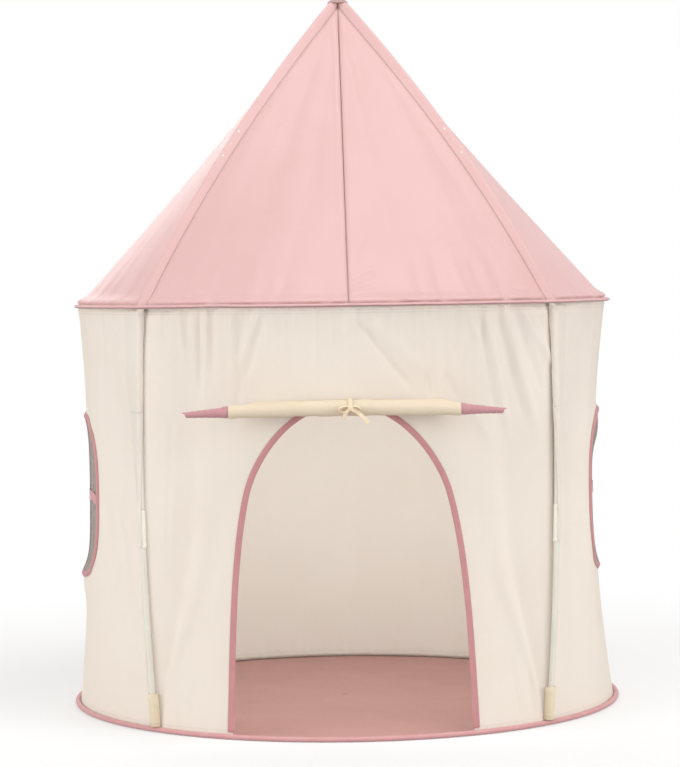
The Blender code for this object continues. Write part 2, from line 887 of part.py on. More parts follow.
def make_curtain():
    """The short stretch of curtain between its seam on the wall and the roll."""
    high = CURTAIN_SEAM_HEIGHT
    low = ROLL_HEIGHT
    bpy.ops.mesh.primitive_cube_add(size=1)
    strip = bpy.context.object
    strip.name = "door_curtain"
    strip.dimensions = (2 * CURTAIN_HALF_WIDTH, CLOTH, high - low)
    strip.location = (0, CLOTH / 2 - curtain_face(), (low + high) / 2)
    bpy.ops.object.transform_apply(location=False, rotation=False, scale=True)
    move_to(strip, PARTS)
    finish(strip, ribbon_cloth())


# Tie


def ribbon(name, points, across):
    """A flat ribbon along a line of points, as wide as it is across."""
    half = across.normalized() * (RIBBON_WIDTH / 2)
    rings = []
    for i, point in enumerate(points):
        along = points[min(i + 1, len(points) - 1)] - points[max(i - 1, 0)]
        lift = along.cross(half).normalized() * (RIBBON_THICKNESS / 2)
        rings.append([point - half - lift, point + half - lift, point + half + lift, point - half + lift])
    return loft(name, rings)


TIE_STRAND_POINTS = 9
TIE_BACK_TURN = math.radians(-30)
TIE_FRONT_TURN = math.radians(90)
KNOT_PROUD_SHARE = 0.9
BOW_LOOP_POINTS = 12
BOW_LOOP_SHARE = 0.3
TAIL_LEAN_SHARE = 0.3


def make_tie():
    """A ribbon sewn above the roll, brought over it and tied in a bow in front."""
    centre = roll_centre()
    reach = ROLL_RADIUS + GAP + RIBBON_THICKNESS
    strand = [Vector((0, -curtain_face() - RIBBON_THICKNESS, CURTAIN_SEAM_HEIGHT))]
    for i in range(TIE_STRAND_POINTS):
        turn = TIE_BACK_TURN + (TIE_FRONT_TURN - TIE_BACK_TURN) * i / (TIE_STRAND_POINTS - 1)
        strand.append(centre + Vector((0, -math.sin(turn), math.cos(turn))) * reach)
    tie = ribbon("door_tie", strand, Vector((1, 0, 0)))
    knot_centre = centre + Vector((0, -reach - KNOT_RADIUS * KNOT_PROUD_SHARE, 0))
    bm = bmesh.new()
    bmesh.ops.create_uvsphere(bm, u_segments=10, v_segments=6, radius=KNOT_RADIUS)
    knot = new_object("tie_knot", mesh_from(bm, "tie_knot"), PARTS)
    knot.location = knot_centre
    boolean(tie, knot, "UNION")
    for name, sign in (("left", -1), ("right", 1)):
        loop = []
        for i in range(BOW_LOOP_POINTS):
            turn = 2 * math.pi * i / BOW_LOOP_POINTS
            swing = BOW_REACH * (1 - math.cos(turn)) / 2
            lift = BOW_REACH * BOW_LOOP_SHARE * math.sin(turn)
            loop.append(knot_centre + Vector((sign * swing, 0, lift)))
        bow = closed_ribbon("bow_" + name, loop)
        boolean(tie, bow, "UNION")
        drop = TAIL_DROP if sign > 0 else TAIL_DROP / 2
        lean = TAIL_REACH if sign > 0 else TAIL_REACH / 2
        end = knot_centre + Vector((sign * lean, 0, -drop))
        bend = knot_centre + Vector((sign * lean * TAIL_LEAN_SHARE, 0, -drop / 2))
        tail = ribbon("tail_" + name, [knot_centre, bend, end], Vector((sign, 0, TAIL_LEAN_SHARE)))
        boolean(tie, tail, "UNION")
    finish(tie, ribbon_cloth())


def closed_ribbon(name, points):
    """A ribbon whose end meets its start, standing on its edge."""
    depth = Vector((0, RIBBON_WIDTH / 2, 0))
    rings = []
    for i, point in enumerate(points):
        along = points[(i + 1) % len(points)] - points[i - 1]
        lift = along.cross(depth).normalized() * (RIBBON_THICKNESS / 2)
        rings.append([point - depth - lift, point + depth - lift, point + depth + lift, point - depth + lift])
    return loft(name, rings, closed=True)


# Build

empty_scene()
PARTS = new_collection("play_tent")
CUTTERS = new_collection("cutters")
POLE_KNOTS = pole_knots()

make_floor()
make_hoops()

make_front_wall()
make_door_binding()
wall_sheet("wall_rear", math.pi)
finish(bpy.data.objects["wall_rear"], cream_cloth())
for side, centre in (("left", -QUARTER), ("right", QUARTER)):
    make_side_wall(side, centre)
    make_window_mesh(side, centre)
    make_window_trim(side, centre)

for place_name, corner in CORNERS.items():
    centre = math.atan2(corner[0], -corner[1])
    make_roof_gore(place_name, corner, centre)
    make_pole_tubes(place_name, corner)
    make_pole_connectors(place_name, corner)
    make_pole_elbow(place_name, corner)
    make_pole_holders(place_name, corner)
make_peak_cap()

make_curtain()
make_roll()
make_roll_end("left", -1)
make_roll_end("right", 1)
make_tie()
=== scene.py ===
import math

import bpy
import numpy as np
from mathutils import Matrix


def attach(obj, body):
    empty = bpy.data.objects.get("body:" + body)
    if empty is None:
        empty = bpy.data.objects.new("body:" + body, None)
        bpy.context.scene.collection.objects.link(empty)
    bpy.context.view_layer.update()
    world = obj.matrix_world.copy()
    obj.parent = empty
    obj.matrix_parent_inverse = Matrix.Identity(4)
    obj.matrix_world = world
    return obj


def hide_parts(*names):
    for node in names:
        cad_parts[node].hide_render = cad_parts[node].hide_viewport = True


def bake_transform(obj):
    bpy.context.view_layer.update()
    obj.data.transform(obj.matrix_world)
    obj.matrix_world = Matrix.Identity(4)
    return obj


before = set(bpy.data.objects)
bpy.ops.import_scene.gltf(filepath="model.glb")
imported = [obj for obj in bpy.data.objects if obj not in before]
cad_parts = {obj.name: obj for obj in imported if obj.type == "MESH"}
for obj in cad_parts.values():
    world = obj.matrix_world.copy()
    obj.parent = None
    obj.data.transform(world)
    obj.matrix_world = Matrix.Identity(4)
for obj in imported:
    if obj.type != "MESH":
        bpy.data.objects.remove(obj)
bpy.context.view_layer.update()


# The camera stands five metres in front of the doorway, a little above the eave,
# turned a touch down, as in the photograph.

CAMERA_PLACE = (-0.1206, -5.0686, 0.8114)
CAMERA_LENS = 122.94
TURNED = math.radians(-1.3)
TILTED = math.radians(90 - 2.309)
ROLLED = -0.014

camera = bpy.data.objects.new("camera", bpy.data.cameras.new("camera"))
bpy.context.scene.collection.objects.link(camera)
camera.data.sensor_fit = "AUTO"
camera.data.sensor_width = 36
camera.data.lens = CAMERA_LENS
camera.matrix_world = (
    Matrix.Translation(CAMERA_PLACE)
    @ Matrix.Rotation(TURNED, 4, "Z")
    @ Matrix.Rotation(TILTED, 4, "X")
    @ Matrix.Rotation(ROLLED, 4, "Z")
)
bpy.context.scene.camera = camera
bpy.context.scene.view_settings.view_transform = "Standard"


# The studio is a pale floor under wide, soft lamps. The floor shows white to the
# camera and keeps the tent's soft grey shadow.

WHITE = (1, 1, 1, 1)
GROUND_GREY = (0.55, 0.55, 0.555, 1)
GROUND_GLOW = 0.40
AIR_STRENGTH = 0.52
WHITE_FROM, WHITE_BEYOND = 0.75, 1.9
DAYLIGHT = (1.0, 0.985, 0.965)
FLOOR_REACH = 14.0
EYE_LEVEL = (0, 0, 0.60)


def add_node(tree, kind, inputs=None, **settings):
    """A node with its settings; an input is a value, a socket, or a node's first output."""
    made = tree.nodes.new("ShaderNode" + kind)
    for key, value in settings.items():
        setattr(made, key, value)
    for key, value in (inputs or {}).items():
        if isinstance(value, bpy.types.Node):
            value = value.outputs[0]
        if isinstance(value, bpy.types.NodeSocket):
            tree.links.new(value, made.inputs[key])
        else:
            made.inputs[key].default_value = value
    return made


def maths(tree, operation, first, second=0.0):
    return add_node(tree, "Math", {0: first, 1: second}, operation=operation).outputs[0]


def new_surface(name):
    """An empty material and its tree."""
    surface = bpy.data.materials.new(name)
    surface.use_nodes = True
    surface.node_tree.nodes.clear()
    return surface, surface.node_tree


def looked_at(tree):
    """1 for camera, glossy and transmission rays, and 0 for all other light."""
    path = add_node(tree, "LightPath").outputs
    direct = maths(tree, "MAXIMUM", path["Is Camera Ray"], path["Is Glossy Ray"])
    return maths(tree, "MAXIMUM", direct, path["Is Transmission Ray"])


studio_floor, tree = new_surface("studio_floor")
seen = looked_at(tree)
ground_look = add_node(tree, "BsdfDiffuse", {"Color": GROUND_GREY})
glow = add_node(tree, "Emission", {"Color": WHITE, "Strength": maths(tree, "MULTIPLY", seen, GROUND_GLOW)})
near_look = add_node(tree, "AddShader", {0: ground_look, 1: glow})
spot = add_node(tree, "TexCoord").outputs["Object"]
distance = add_node(tree, "VectorMath", {0: spot}, operation="LENGTH").outputs["Value"]
inputs = {0: distance, 1: WHITE_FROM, 2: WHITE_BEYOND}
far_off = add_node(tree, "MapRange", inputs, interpolation_type="SMOOTHSTEP")
far_look = add_node(tree, "Emission", {"Color": WHITE, "Strength": 1.0})
both = add_node(tree, "MixShader", {0: maths(tree, "MULTIPLY", far_off, seen), 1: near_look, 2: far_look})
add_node(tree, "OutputMaterial", {"Surface": both})

ground_corners = [(x * FLOOR_REACH, y * FLOOR_REACH, 0) for x, y in ((-1, -1), (1, -1), (1, 1), (-1, 1))]
ground_mesh = bpy.data.meshes.new("studio_ground")
ground_mesh.from_pydata(ground_corners, [], [(0, 1, 2, 3)])
ground_mesh.materials.append(studio_floor)
ground = bpy.data.objects.new("studio_ground", ground_mesh)
bpy.context.scene.collection.objects.link(ground)

world = bpy.data.worlds.new("studio_air")
world.use_nodes = True
bpy.context.scene.world = world
tree = world.node_tree
tree.nodes.clear()
air_light = add_node(tree, "Background", {"Color": (*DAYLIGHT, 1), "Strength": AIR_STRENGTH})
air_look = add_node(tree, "Background", {"Color": WHITE, "Strength": 1.0})
air = add_node(tree, "MixShader", {0: looked_at(tree), 1: air_light, 2: air_look})
add_node(tree, "OutputWorld", {"Surface": air})

for name, place, aim, power, size, colour, spread in (
    ("key_lamp", (-5.3, -3.2, 1.5), EYE_LEVEL, 208, 4.2, DAYLIGHT, 180),
    ("fill_lamp", (4.7, -3.8, 1.5), EYE_LEVEL, 172, 4.2, DAYLIGHT, 180),
    ("top_lamp", (0.8, -1.3, 4.5), EYE_LEVEL, 70, 3.0, DAYLIGHT, 180),
    ("back_lamp", (-0.8, 4.6, 2.6), EYE_LEVEL, 62, 3.6, DAYLIGHT, 180),
    ("tent_lamp", (0.0, -0.34, 0.66), (0.0, 0.50, -0.08), 3.3, 0.34, (0.86, 1.0, 1.0), 145),
):
    lamp = bpy.data.lights.new(name, "AREA")
    lamp.shape = "DISK"
    lamp.size = size
    lamp.energy = power
    lamp.color = colour
    lamp.spread = math.radians(spread)
    carrier = bpy.data.objects.new(name, lamp)
    bpy.context.scene.collection.objects.link(carrier)
    away = np.array(place) - np.array(aim)
    turn = math.atan2(away[0], -away[1])
    tilt = math.atan2(math.hypot(away[0], away[1]), away[2])
    aimed = Matrix.Rotation(turn, 4, "Z") @ Matrix.Rotation(tilt, 4, "X")
    carrier.matrix_world = Matrix.Translation(place) @ aimed


# The floor sheet is coated pink cloth, cut round and sewn to the wall's lower edge.
# It lies on the ground and is slightly creased from being folded away.

CLOTH = 0.001
WALL_BASE_RADIUS = 0.5155
FLOOR_THICKNESS = 0.0015
FLOOR_CENTRE = 0.004


def grid(rows, columns):
    return np.meshgrid(rows, columns, indexing="ij")


def joined(*parts):
    """Coordinates brought to one shape and stacked as points."""
    return np.stack(np.broadcast_arrays(*parts), axis=-1)


def closed(flat):
    """A grid with its first column again at its end, as the UVs of a wrapped mesh need."""
    return np.concatenate((flat, flat[:, :1]), axis=1)


def around(radius, angle, height):
    """The point at an angle from the front, towards +X: (r sin a, -r cos a, z)."""
    return joined(radius * np.sin(angle), -radius * np.cos(angle), height)


def quads(index):
    """A grid's quads: (r, c), (r, c+1), (r+1, c+1) and (r+1, c)."""
    return np.stack((index[:-1, :-1], index[:-1, 1:], index[1:, 1:], index[1:, :-1]), axis=-1).reshape(-1, 4)


def cloth_mesh(name, points, flat, wrap_columns=False, wrap_rows=False, caps=False):
    """A grid of points, rows by columns, as quads, with flat as its UV map in metres.

    A wrapped grid joins its last row or column to its first. Caps close the first and
    the last row.
    """
    rows, columns = points.shape[:2]
    index = np.arange(rows * columns).reshape(rows, columns)
    if wrap_columns:
        index = closed(index)
    if wrap_rows:
        index = np.concatenate((index, index[:1]), axis=0)
    loops = quads(index).ravel()
    spots = quads(np.arange(index.size).reshape(index.shape)).ravel()
    flat_loops = np.broadcast_to(flat, (*index.shape, 2)).reshape(-1, 2)[spots]
    totals = np.full(len(loops) // 4, 4)
    if caps:
        ends = np.concatenate((index[0, :columns][::-1], index[-1, :columns]))
        loops = np.concatenate((loops, ends))
        flat_loops = np.concatenate((flat_loops, np.zeros((2 * columns, 2))))
        totals = np.concatenate((totals, (columns, columns)))
    starts = np.cumsum(totals) - totals
    mesh = bpy.data.meshes.new(name)
    mesh.vertices.add(rows * columns)
    mesh.vertices.foreach_set("co", points.astype(np.float32).ravel())
    mesh.loops.add(len(loops))
    mesh.loops.foreach_set("vertex_index", loops.astype(np.int32))
    mesh.polygons.add(len(totals))
    mesh.polygons.foreach_set("loop_start", starts.astype(np.int32))
    mesh.polygons.foreach_set("loop_total", totals.astype(np.int32))
    mesh.polygons.foreach_set("use_smooth", np.ones(len(totals), bool))
    mesh.update(calc_edges=True)
    mesh.uv_layers.new(name="flat").data.foreach_set("uv", flat_loops.astype(np.float32).ravel())
    mesh.validate()
    return mesh


def new_piece(name, points, flat, surface, slot, *nodes, body="tent", thickness=0.0, offset=-1.0, **folds):
    """A piece from its grid: its material, CAD nodes, body and cloth thickness. The slot is not used."""
    piece = bpy.data.objects.new(name, cloth_mesh(name, points, flat, **folds))
    bpy.context.scene.collection.objects.link(piece)
    piece.data.materials.append(surface)
    if thickness:
        body_of_cloth = piece.modifiers.new("cloth", "SOLIDIFY")
        body_of_cloth.thickness = thickness
        body_of_cloth.offset = offset
        body_of_cloth.use_even_offset = True
    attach(piece, body)
    if nodes:
        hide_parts(*nodes)
    return piece


def ripple(where, length, seed):
    """A smooth uneven wave: five sines near one wavelength with seeded phases, summed."""
    dice = np.random.default_rng(seed)
    total = 0
    for stretch in (0.55, 0.78, 1.0, 1.37, 1.9):
        total = total + np.sin(2 * np.pi * where / (length * stretch) + dice.uniform(0, 2 * np.pi))
    return total / 2.6


def wave_lines(tree, place, direction, pitch):
    """Parallel threads: a sine across one direction of the cloth, one per pitch."""
    inputs = {"Vector": place, "Scale": 2 * math.pi / (20 * pitch)}
    return add_node(tree, "TexWave", inputs, wave_type="BANDS", bands_direction=direction).outputs["Fac"]


def noise(tree, place, scale, detail, **others):
    """Soft noise from 0 to 1."""
    inputs = {"Vector": place, "Scale": scale, "Detail": detail, **others}
    return add_node(tree, "TexNoise", inputs).outputs["Fac"]


def mixed(tree, share, low, high):
    """The colour a share of the way from low to high."""
    return add_node(tree, "Mix", {0: share, 6: low, 7: high}, data_type="RGBA").outputs[2]


def bump(tree, height, strength, distance, **others):
    return add_node(tree, "Bump", {"Height": height, "Strength": strength, "Distance": distance, **others})


def linear(colour):
    """An sRGB colour, 0 to 255, as linear: ((c + 0.055) / 1.055) to the power 2.4."""
    share = np.asarray(colour, float) / 255
    curve = np.where(share <= 0.04045, share / 12.92, ((share + 0.055) / 1.055) ** 2.4)
    return (*curve.tolist(), 1.0)


def stitch_and_shade_mask(tree, place, across, at, pitch=0.0034, width=0.0011):
    """Dashes near one line across the cloth, on two thirds of each pitch: stitches of thread, and in packed
    rows a band of painted shade.
    """
    parts = add_node(tree, "SeparateXYZ", {0: place}).outputs
    away = maths(tree, "ABSOLUTE", maths(tree, "SUBTRACT", parts[across], at))
    on_line = maths(tree, "LESS_THAN", away, width / 2)
    step = maths(tree, "FRACT", maths(tree, "DIVIDE", parts[1 - across], pitch))
    return maths(tree, "MULTIPLY", on_line, maths(tree, "LESS_THAN", step, 0.66))


def woven_cloth(
    name,
    colour,
    shade,
    thread=0.0008,
    roughness=0.8,
    sheen=0.2,
    through=0.35,
    glow=(255, 252, 247),
    relief=0.00012,
    blotch=7.0,
    stitch_and_shade_lines=(),
    stitch_and_shade_share=0.5,
    gloss=0.25,
    edge_shade=0.0,
):
    """Woven cloth: crossed sine threads, slubs and soft blotches in colour and bump.

    Part of the light goes through it, by a mix with a translucent shader. Its colour
    deepens next to a seam, by the mesh's edge_gap in metres. Rows of dashes darken it:
    stitches of thread, and on the eave piping a band of painted shade.
    """
    surface, tree = new_surface(name)
    places = add_node(tree, "TexCoord").outputs
    flat, solid = places["UV"], places["Object"]
    weave = maths(tree, "ADD", wave_lines(tree, flat, "X", thread), wave_lines(tree, flat, "Y", thread))
    blotches = noise(tree, solid, blotch, 3.0, Roughness=0.55)
    drawn_out = add_node(tree, "Mapping", {"Vector": flat, "Scale": (900.0, 45.0, 1.0)})
    slubs = noise(tree, drawn_out, 1.0, 1.0)
    tone = maths(tree, "MULTIPLY", blotches, 0.9)
    tone = maths(tree, "ADD", tone, maths(tree, "MULTIPLY", slubs, 0.22))
    tone = maths(tree, "ADD", tone, maths(tree, "MULTIPLY", weave, 0.06))
    tint = mixed(tree, maths(tree, "SUBTRACT", tone, 0.12), linear(shade), linear(colour))
    height = weave
    for across, at in stitch_and_shade_lines:
        mask = stitch_and_shade_mask(tree, flat, across, at)
        stitch_and_shade_colour = linear([c * 0.72 for c in shade])
        tint = mixed(tree, maths(tree, "MULTIPLY", mask, stitch_and_shade_share), tint, stitch_and_shade_colour)
        height = maths(tree, "SUBTRACT", height, maths(tree, "MULTIPLY", mask, 2.0))
    if edge_shade:
        gap = add_node(tree, "Attribute", attribute_name="edge_gap").outputs["Fac"]
        near = add_node(tree, "MapRange", {0: gap, 1: 0.0002, 2: 0.0016, 3: edge_shade, 4: 0.0})
        tint = mixed(tree, near, tint, linear([c * 0.62 for c in shade]))
    creases = noise(tree, solid, 34.0, 2.0, Distortion=0.6)
    normal = bump(tree, creases, 0.5, 0.0012, Normal=bump(tree, height, 0.5, relief))
    cloth = add_node(tree, "BsdfPrincipled", {"Base Color": tint, "Roughness": roughness, "Normal": normal})
    cloth.inputs["Sheen Weight"].default_value = sheen
    cloth.inputs["Sheen Roughness"].default_value = 0.45
    cloth.inputs["Specular IOR Level"].default_value = gloss
    result = cloth
    if through:
        back = add_node(tree, "BsdfTranslucent", {"Color": linear(glow), "Normal": normal})
        result = add_node(tree, "MixShader", {0: through, 1: cloth, 2: back})
    add_node(tree, "OutputMaterial", {"Surface": result})
    return surface


floor_cloth = woven_cloth(
    "floor_cloth", (194, 142, 136), (178, 126, 120), thread=0.0011, roughness=0.5, sheen=0.1, through=0.0
)

reach, turn = grid(np.linspace(0.0, 1.0, 60), np.linspace(0, 2 * np.pi, 240, endpoint=False))
radius = FLOOR_CENTRE + (WALL_BASE_RADIUS - FLOOR_CENTRE) * reach
x_line, y_line = radius * np.sin(turn), -radius * np.cos(turn)
crease = np.abs(ripple(x_line * 0.8 + y_line * 0.3, 0.16, 3)) + np.abs(ripple(y_line, 0.21, 5))
lift = FLOOR_THICKNESS + 0.0007 * crease * np.sin(np.pi * reach) ** 0.5
points = around(radius, turn, lift)[::-1]
floor_sheet = new_piece(
    "floor_sheet_cloth",
    points,
    closed(points)[..., :2],
    floor_cloth,
    "floor_cloth",
    "floor_sheet",
    thickness=CLOTH,
    wrap_columns=True,
)


# The wall is cream polyester in four panels, sewn on the pole lines and hung between
# the two hoops. It is waisted, and creased by the pull of the poles and the eave seam.

QUARTER = math.pi / 2
CORNER = math.pi / 4
WALL_WAIST_RADIUS = 0.4895
WALL_TOP_RADIUS = 0.5055
WAIST_HEIGHT = 0.42
EAVE_HEIGHT = 0.7635
WALL_BOTTOM = 0.0023
SEAM_GAP = 0.0007
WINDOW_HALF_WIDTH = 0.174
WINDOW_HALF_HEIGHT = 0.1485
WINDOW_CENTRE = 0.4025
DOOR_HALF_WIDTH = 0.2145
DOOR_HEIGHT = 0.585
FOOT_LEAN = math.radians(2.1)
FOOT_HEIGHT = 0.01134
FOOT_RADIUS = 0.5213
KNEE_RADIUS = 0.5238
KNEE_HEIGHT = 0.760
WALL_BOW = 0.014
BEHIND_POLE = 0.0059
WINDOW_PUFFS = ((1.50, 0.512, 0.009), (-1.50, 0.238, 0.008))


def squareness(angle):
    """0 midway between poles, 1 at a pole: (1 / cos - 1) over its value at 45 degrees."""
    off_middle = (angle + CORNER) % QUARTER - CORNER
    return (1 / np.cos(off_middle) - 1) / (1 / math.cos(CORNER) - 1)


def bell(off, width):
    """A bell: exp(-(off / width)^2)."""
    return np.exp(-((off / width) ** 2))


def crease_line(across, height, start, end, width, depth):
    """A straight crease: a bell across the line from start to end, fading at its ends."""
    (x0, z0), (x1, z1) = start, end
    length = math.hypot(x1 - x0, z1 - z0)
    along = ((across - x0) * (x1 - x0) + (height - z0) * (z1 - z0)) / length**2
    off = ((across - x0) * (z1 - z0) - (height - z0) * (x1 - x0)) / length
    fade = np.exp(-(np.maximum(np.abs(along - 0.5) - 0.32, 0) / 0.16) ** 2)
    return depth * fade * bell(off, width)


WALL_CREASES = (
    ((-0.307, 0.757), (-0.304, 0.640), 0.007, -0.0035),
    ((-0.287, 0.760), (-0.287, 0.690), 0.006, -0.0040),
    ((-0.272, 0.760), (-0.274, 0.640), 0.007, 0.0032),
    ((-0.262, 0.760), (-0.263, 0.620), 0.005, -0.0030),
    ((-0.252, 0.760), (-0.254, 0.580), 0.006, 0.0036),
    ((-0.240, 0.760), (-0.243, 0.640), 0.006, -0.0034),
    ((-0.211, 0.760), (-0.209, 0.580), 0.009, 0.0046),
    ((-0.192, 0.758), (-0.196, 0.590), 0.010, -0.0046),
    ((-0.160, 0.755), (-0.193, 0.655), 0.007, 0.0036),
    ((-0.148, 0.750), (-0.184, 0.635), 0.007, -0.0030),
    ((-0.133, 0.748), (-0.172, 0.620), 0.008, 0.0022),
    ((-0.307, 0.560), (-0.318, 0.320), 0.006, 0.0022),
    ((-0.324, 0.560), (-0.333, 0.300), 0.006, 0.0020),
    ((-0.413, 0.400), (-0.371, 0.200), 0.008, 0.0030),
    ((-0.230, 0.300), (-0.250, 0.190), 0.009, 0.0020),
    ((0.012, 0.735), (0.110, 0.615), 0.006, -0.0034),
    ((0.030, 0.742), (0.135, 0.640), 0.010, 0.0022),
    ((0.201, 0.758), (0.201, 0.600), 0.008, 0.0022),
    ((0.206, 0.758), (0.230, 0.695), 0.005, 0.0030),
    ((0.230, 0.756), (0.264, 0.550), 0.006, -0.0030),
    ((0.241, 0.757), (0.285, 0.530), 0.007, 0.0042),
    ((0.262, 0.756), (0.314, 0.555), 0.007, -0.0034),
    ((0.278, 0.757), (0.339, 0.530), 0.008, 0.0042),
    ((0.296, 0.756), (0.350, 0.600), 0.006, -0.0028),
    ((0.307, 0.754), (0.364, 0.655), 0.005, 0.0032),
    ((0.326, 0.754), (0.372, 0.645), 0.005, 0.0030),
    ((0.219, 0.572), (0.252, 0.520), 0.007, 0.0026),
    ((0.258, 0.400), (0.256, 0.300), 0.009, -0.0030),
    ((0.138, 0.640), (0.141, 0.600), 0.005, -0.0026),
    ((0.172, 0.640), (0.190, 0.600), 0.005, -0.0030),
    ((0.300, 0.020), (0.285, 0.120), 0.006, -0.0020),
    ((0.325, 0.015), (0.318, 0.110), 0.005, -0.0022),
    ((-0.300, 0.015), (-0.270, 0.110), 0.008, -0.0018),
    ((0.235, 0.020), (0.300, 0.150), 0.010, -0.0016),
)


def pole_ridge(angle, height):
    """The cloth drawn out along each pole, as a share: 1 at the pole.

    On the side towards the doorway, and opposite it at the rear, it falls straight over
    1 + 9.2 (1 - exp(-(z / 0.27)^1.8)) degrees, and on the other side over 12 degrees. The
    foot of the slope has a soft corner, s ln(1 + exp((1 - u) / s)), and a low swell.
    """
    off = np.arcsin(np.abs(np.sin(angle))) - CORNER + FOOT_LEAN * np.clip(1 - height / EAVE_HEIGHT, 0, 1)
    reach = np.radians(1.0 + 9.2 * (1 - np.exp(-((np.maximum(height, 0) / 0.27) ** 1.8))))
    inner = off < 0
    run = np.where(inner, -off / reach, off / math.radians(12))
    soft = np.where(inner, 0.07, 0.22)
    swell = 0.22 * bell(run - 1.45, 0.30)
    return soft * np.log1p(np.exp((1 - run) / soft)) + np.where(inner, swell, 0)


def wall_radius(angle, height):
    """Outer face of the wall: waisted, out at the poles, with soft folds and creases.

    The plain curve grows from the waist by a share to the power 1.9, and the poles pull
    it out by squareness. The slack, a sine of the height, lets shallow folds hang and
    lets the waist lean a little to the left. A ridge rises to just behind each pole. A
    low bell at the upper right window and one at the lower left window puff out.
    """
    above = height >= WAIST_HEIGHT
    upper = (height - WAIST_HEIGHT) / (EAVE_HEIGHT - WAIST_HEIGHT)
    share = np.where(above, upper, (WAIST_HEIGHT - height) / WAIST_HEIGHT)
    end = np.where(above, WALL_TOP_RADIUS, WALL_BASE_RADIUS)
    plain = WALL_WAIST_RADIUS + (end - WALL_WAIST_RADIUS) * np.maximum(share, 0) ** 1.9
    slack = np.sin(np.pi * np.clip(height / EAVE_HEIGHT, 0, 1))
    turn = ((angle + CORNER) % QUARTER) / QUARTER
    fold = (1 - np.cos(2 * np.pi * 4 * turn)) / 2
    pull = slack * 0.010 + np.where(above, 0.007 * share**2, 0)
    radius = plain + pull * squareness(angle) - slack * 0.005 * fold
    run = np.clip((height - FOOT_HEIGHT) / (KNEE_HEIGHT - FOOT_HEIGHT), 0, 1)
    pole = FOOT_RADIUS + (KNEE_RADIUS - FOOT_RADIUS) * run + 4 * run * (1 - run) * WALL_BOW
    rise = np.maximum(pole - BEHIND_POLE - plain - pull, 0) * np.clip((EAVE_HEIGHT - height) / 0.02, 0, 1)
    radius = radius + rise * pole_ridge(angle, height) - slack * 0.0055 * np.sin(angle)
    arc = angle * WALL_WAIST_RADIUS
    near_eave = np.exp(-np.maximum(EAVE_HEIGHT - height, 0) / 0.040)
    near_base = np.exp(-np.maximum(height, 0) / 0.030)
    hem_fade = np.clip((EAVE_HEIGHT - height) / 0.006, 0, 1)
    radius = radius + 0.0012 * ripple(arc, 0.017, 11) * near_eave * hem_fade
    radius = radius + 0.0020 * ripple(arc, 0.052, 12) * np.sqrt(near_eave) * hem_fade
    radius = radius + 0.0007 * ripple(arc, 0.024, 13) * near_base * np.clip(height / 0.02, 0, 1)
    radius = radius + 0.0013 * ripple(arc + 0.06 * height, 0.130, 14) * slack
    side_angle = np.mod(angle + np.pi, 2 * np.pi) - np.pi
    for place, tall, puff in WINDOW_PUFFS:
        near = ((side_angle - place) / 0.20) ** 2 + ((height - tall) / 0.035) ** 2
        radius = radius + puff * np.exp(-near)
    front = np.cos(angle) > 0.3
    for start, end_point, width, depth in WALL_CREASES:
        line = crease_line(radius * np.sin(angle), height, start, end_point, width, depth)
        radius = radius + np.where(front, line, 0) * np.clip(height / 0.02, 0, 1)
    return radius


def wall_point(angle, height, lift=0.0):
    return around(wall_radius(angle, height) + lift, angle, height)


def angle_on_wall(across, height, centre=0.0):
    """The angle off the centre at which the wall lies this far across, by eight tries."""
    angle = np.arcsin(np.clip(across / 0.5, -1, 1))
    for _ in range(8):
        angle = np.arcsin(np.clip(across / wall_radius(centre + angle, height), -1, 1))
    return angle


def bezier(first, second, third, fourth, count):
    """Points along a cubic curve: (1-t)^3 a + 3(1-t)^2 t b + 3(1-t) t^2 c + t^3 d."""
    t = np.linspace(0, 1, count)[:, None]
    a, b, c, d = (np.array(p, float) for p in (first, second, third, fourth))
    return (1 - t) ** 3 * a + 3 * (1 - t) ** 2 * t * b + 3 * (1 - t) * t**2 * c + t**3 * d


def door_line(side_count, arch_count):
    """The doorway's edge from its right foot over the arch to its left foot.

    It leans to the left by 8.5 mm times the square of its height over 0.59.
    """
    size = np.array((DOOR_HALF_WIDTH, DOOR_HEIGHT))
    side = bezier(*(size * ((1.0, 0.0), (0.97, 0.25), (0.96, 0.53), (0.82, 0.735))), side_count)
    arch = bezier(*(size * ((0.82, 0.735), (0.735, 0.855), (0.42, 1.008), (0.0, 1.008))), arch_count)
    right = np.concatenate((side, arch[1:]))
    line = np.concatenate((right, right[-2::-1] * (-1, 1)))
    line[:, 0] -= 0.0085 * (line[:, 1] / 0.59) ** 2
    return line


def window_line(turn):
    """The window's edge as a superellipse: half size times cos and sin to the 2/3.2."""
    power = 2 / 3.2
    across = WINDOW_HALF_WIDTH * np.sign(np.cos(turn)) * np.abs(np.cos(turn)) ** power
    up = WINDOW_HALF_HEIGHT * np.sign(np.sin(turn)) * np.abs(np.sin(turn)) ** power
    return joined(across, WINDOW_CENTRE + up)


def between(first, last, rows):
    """Rows of points from the first line to the last, closer together near both."""
    step = np.linspace(0, 1, rows)[:, None, None]
    share = step - 0.7 * np.sin(2 * np.pi * step) / (2 * np.pi)
    return first * (1 - share) + last * share


def collar(gap):
    """How far a window's taped edge stands out: a bell of the gap from the edge."""
    return 0.0036 * bell(np.maximum(gap, 0), 0.0085)


cream_cloth = woven_cloth(
    "cream_cloth",
    (249, 243, 235),
    (243, 234, 223),
    thread=0.0007,
    roughness=0.85,
    sheen=0.15,
    through=0.22,
    stitch_and_shade_lines=((1, 0.7555), (1, 0.7505), (1, 0.0145)),
    stitch_and_shade_share=0.35,
)
panel_spread = QUARTER - SEAM_GAP / WALL_TOP_RADIUS
panel_top = EAVE_HEIGHT - 0.00015


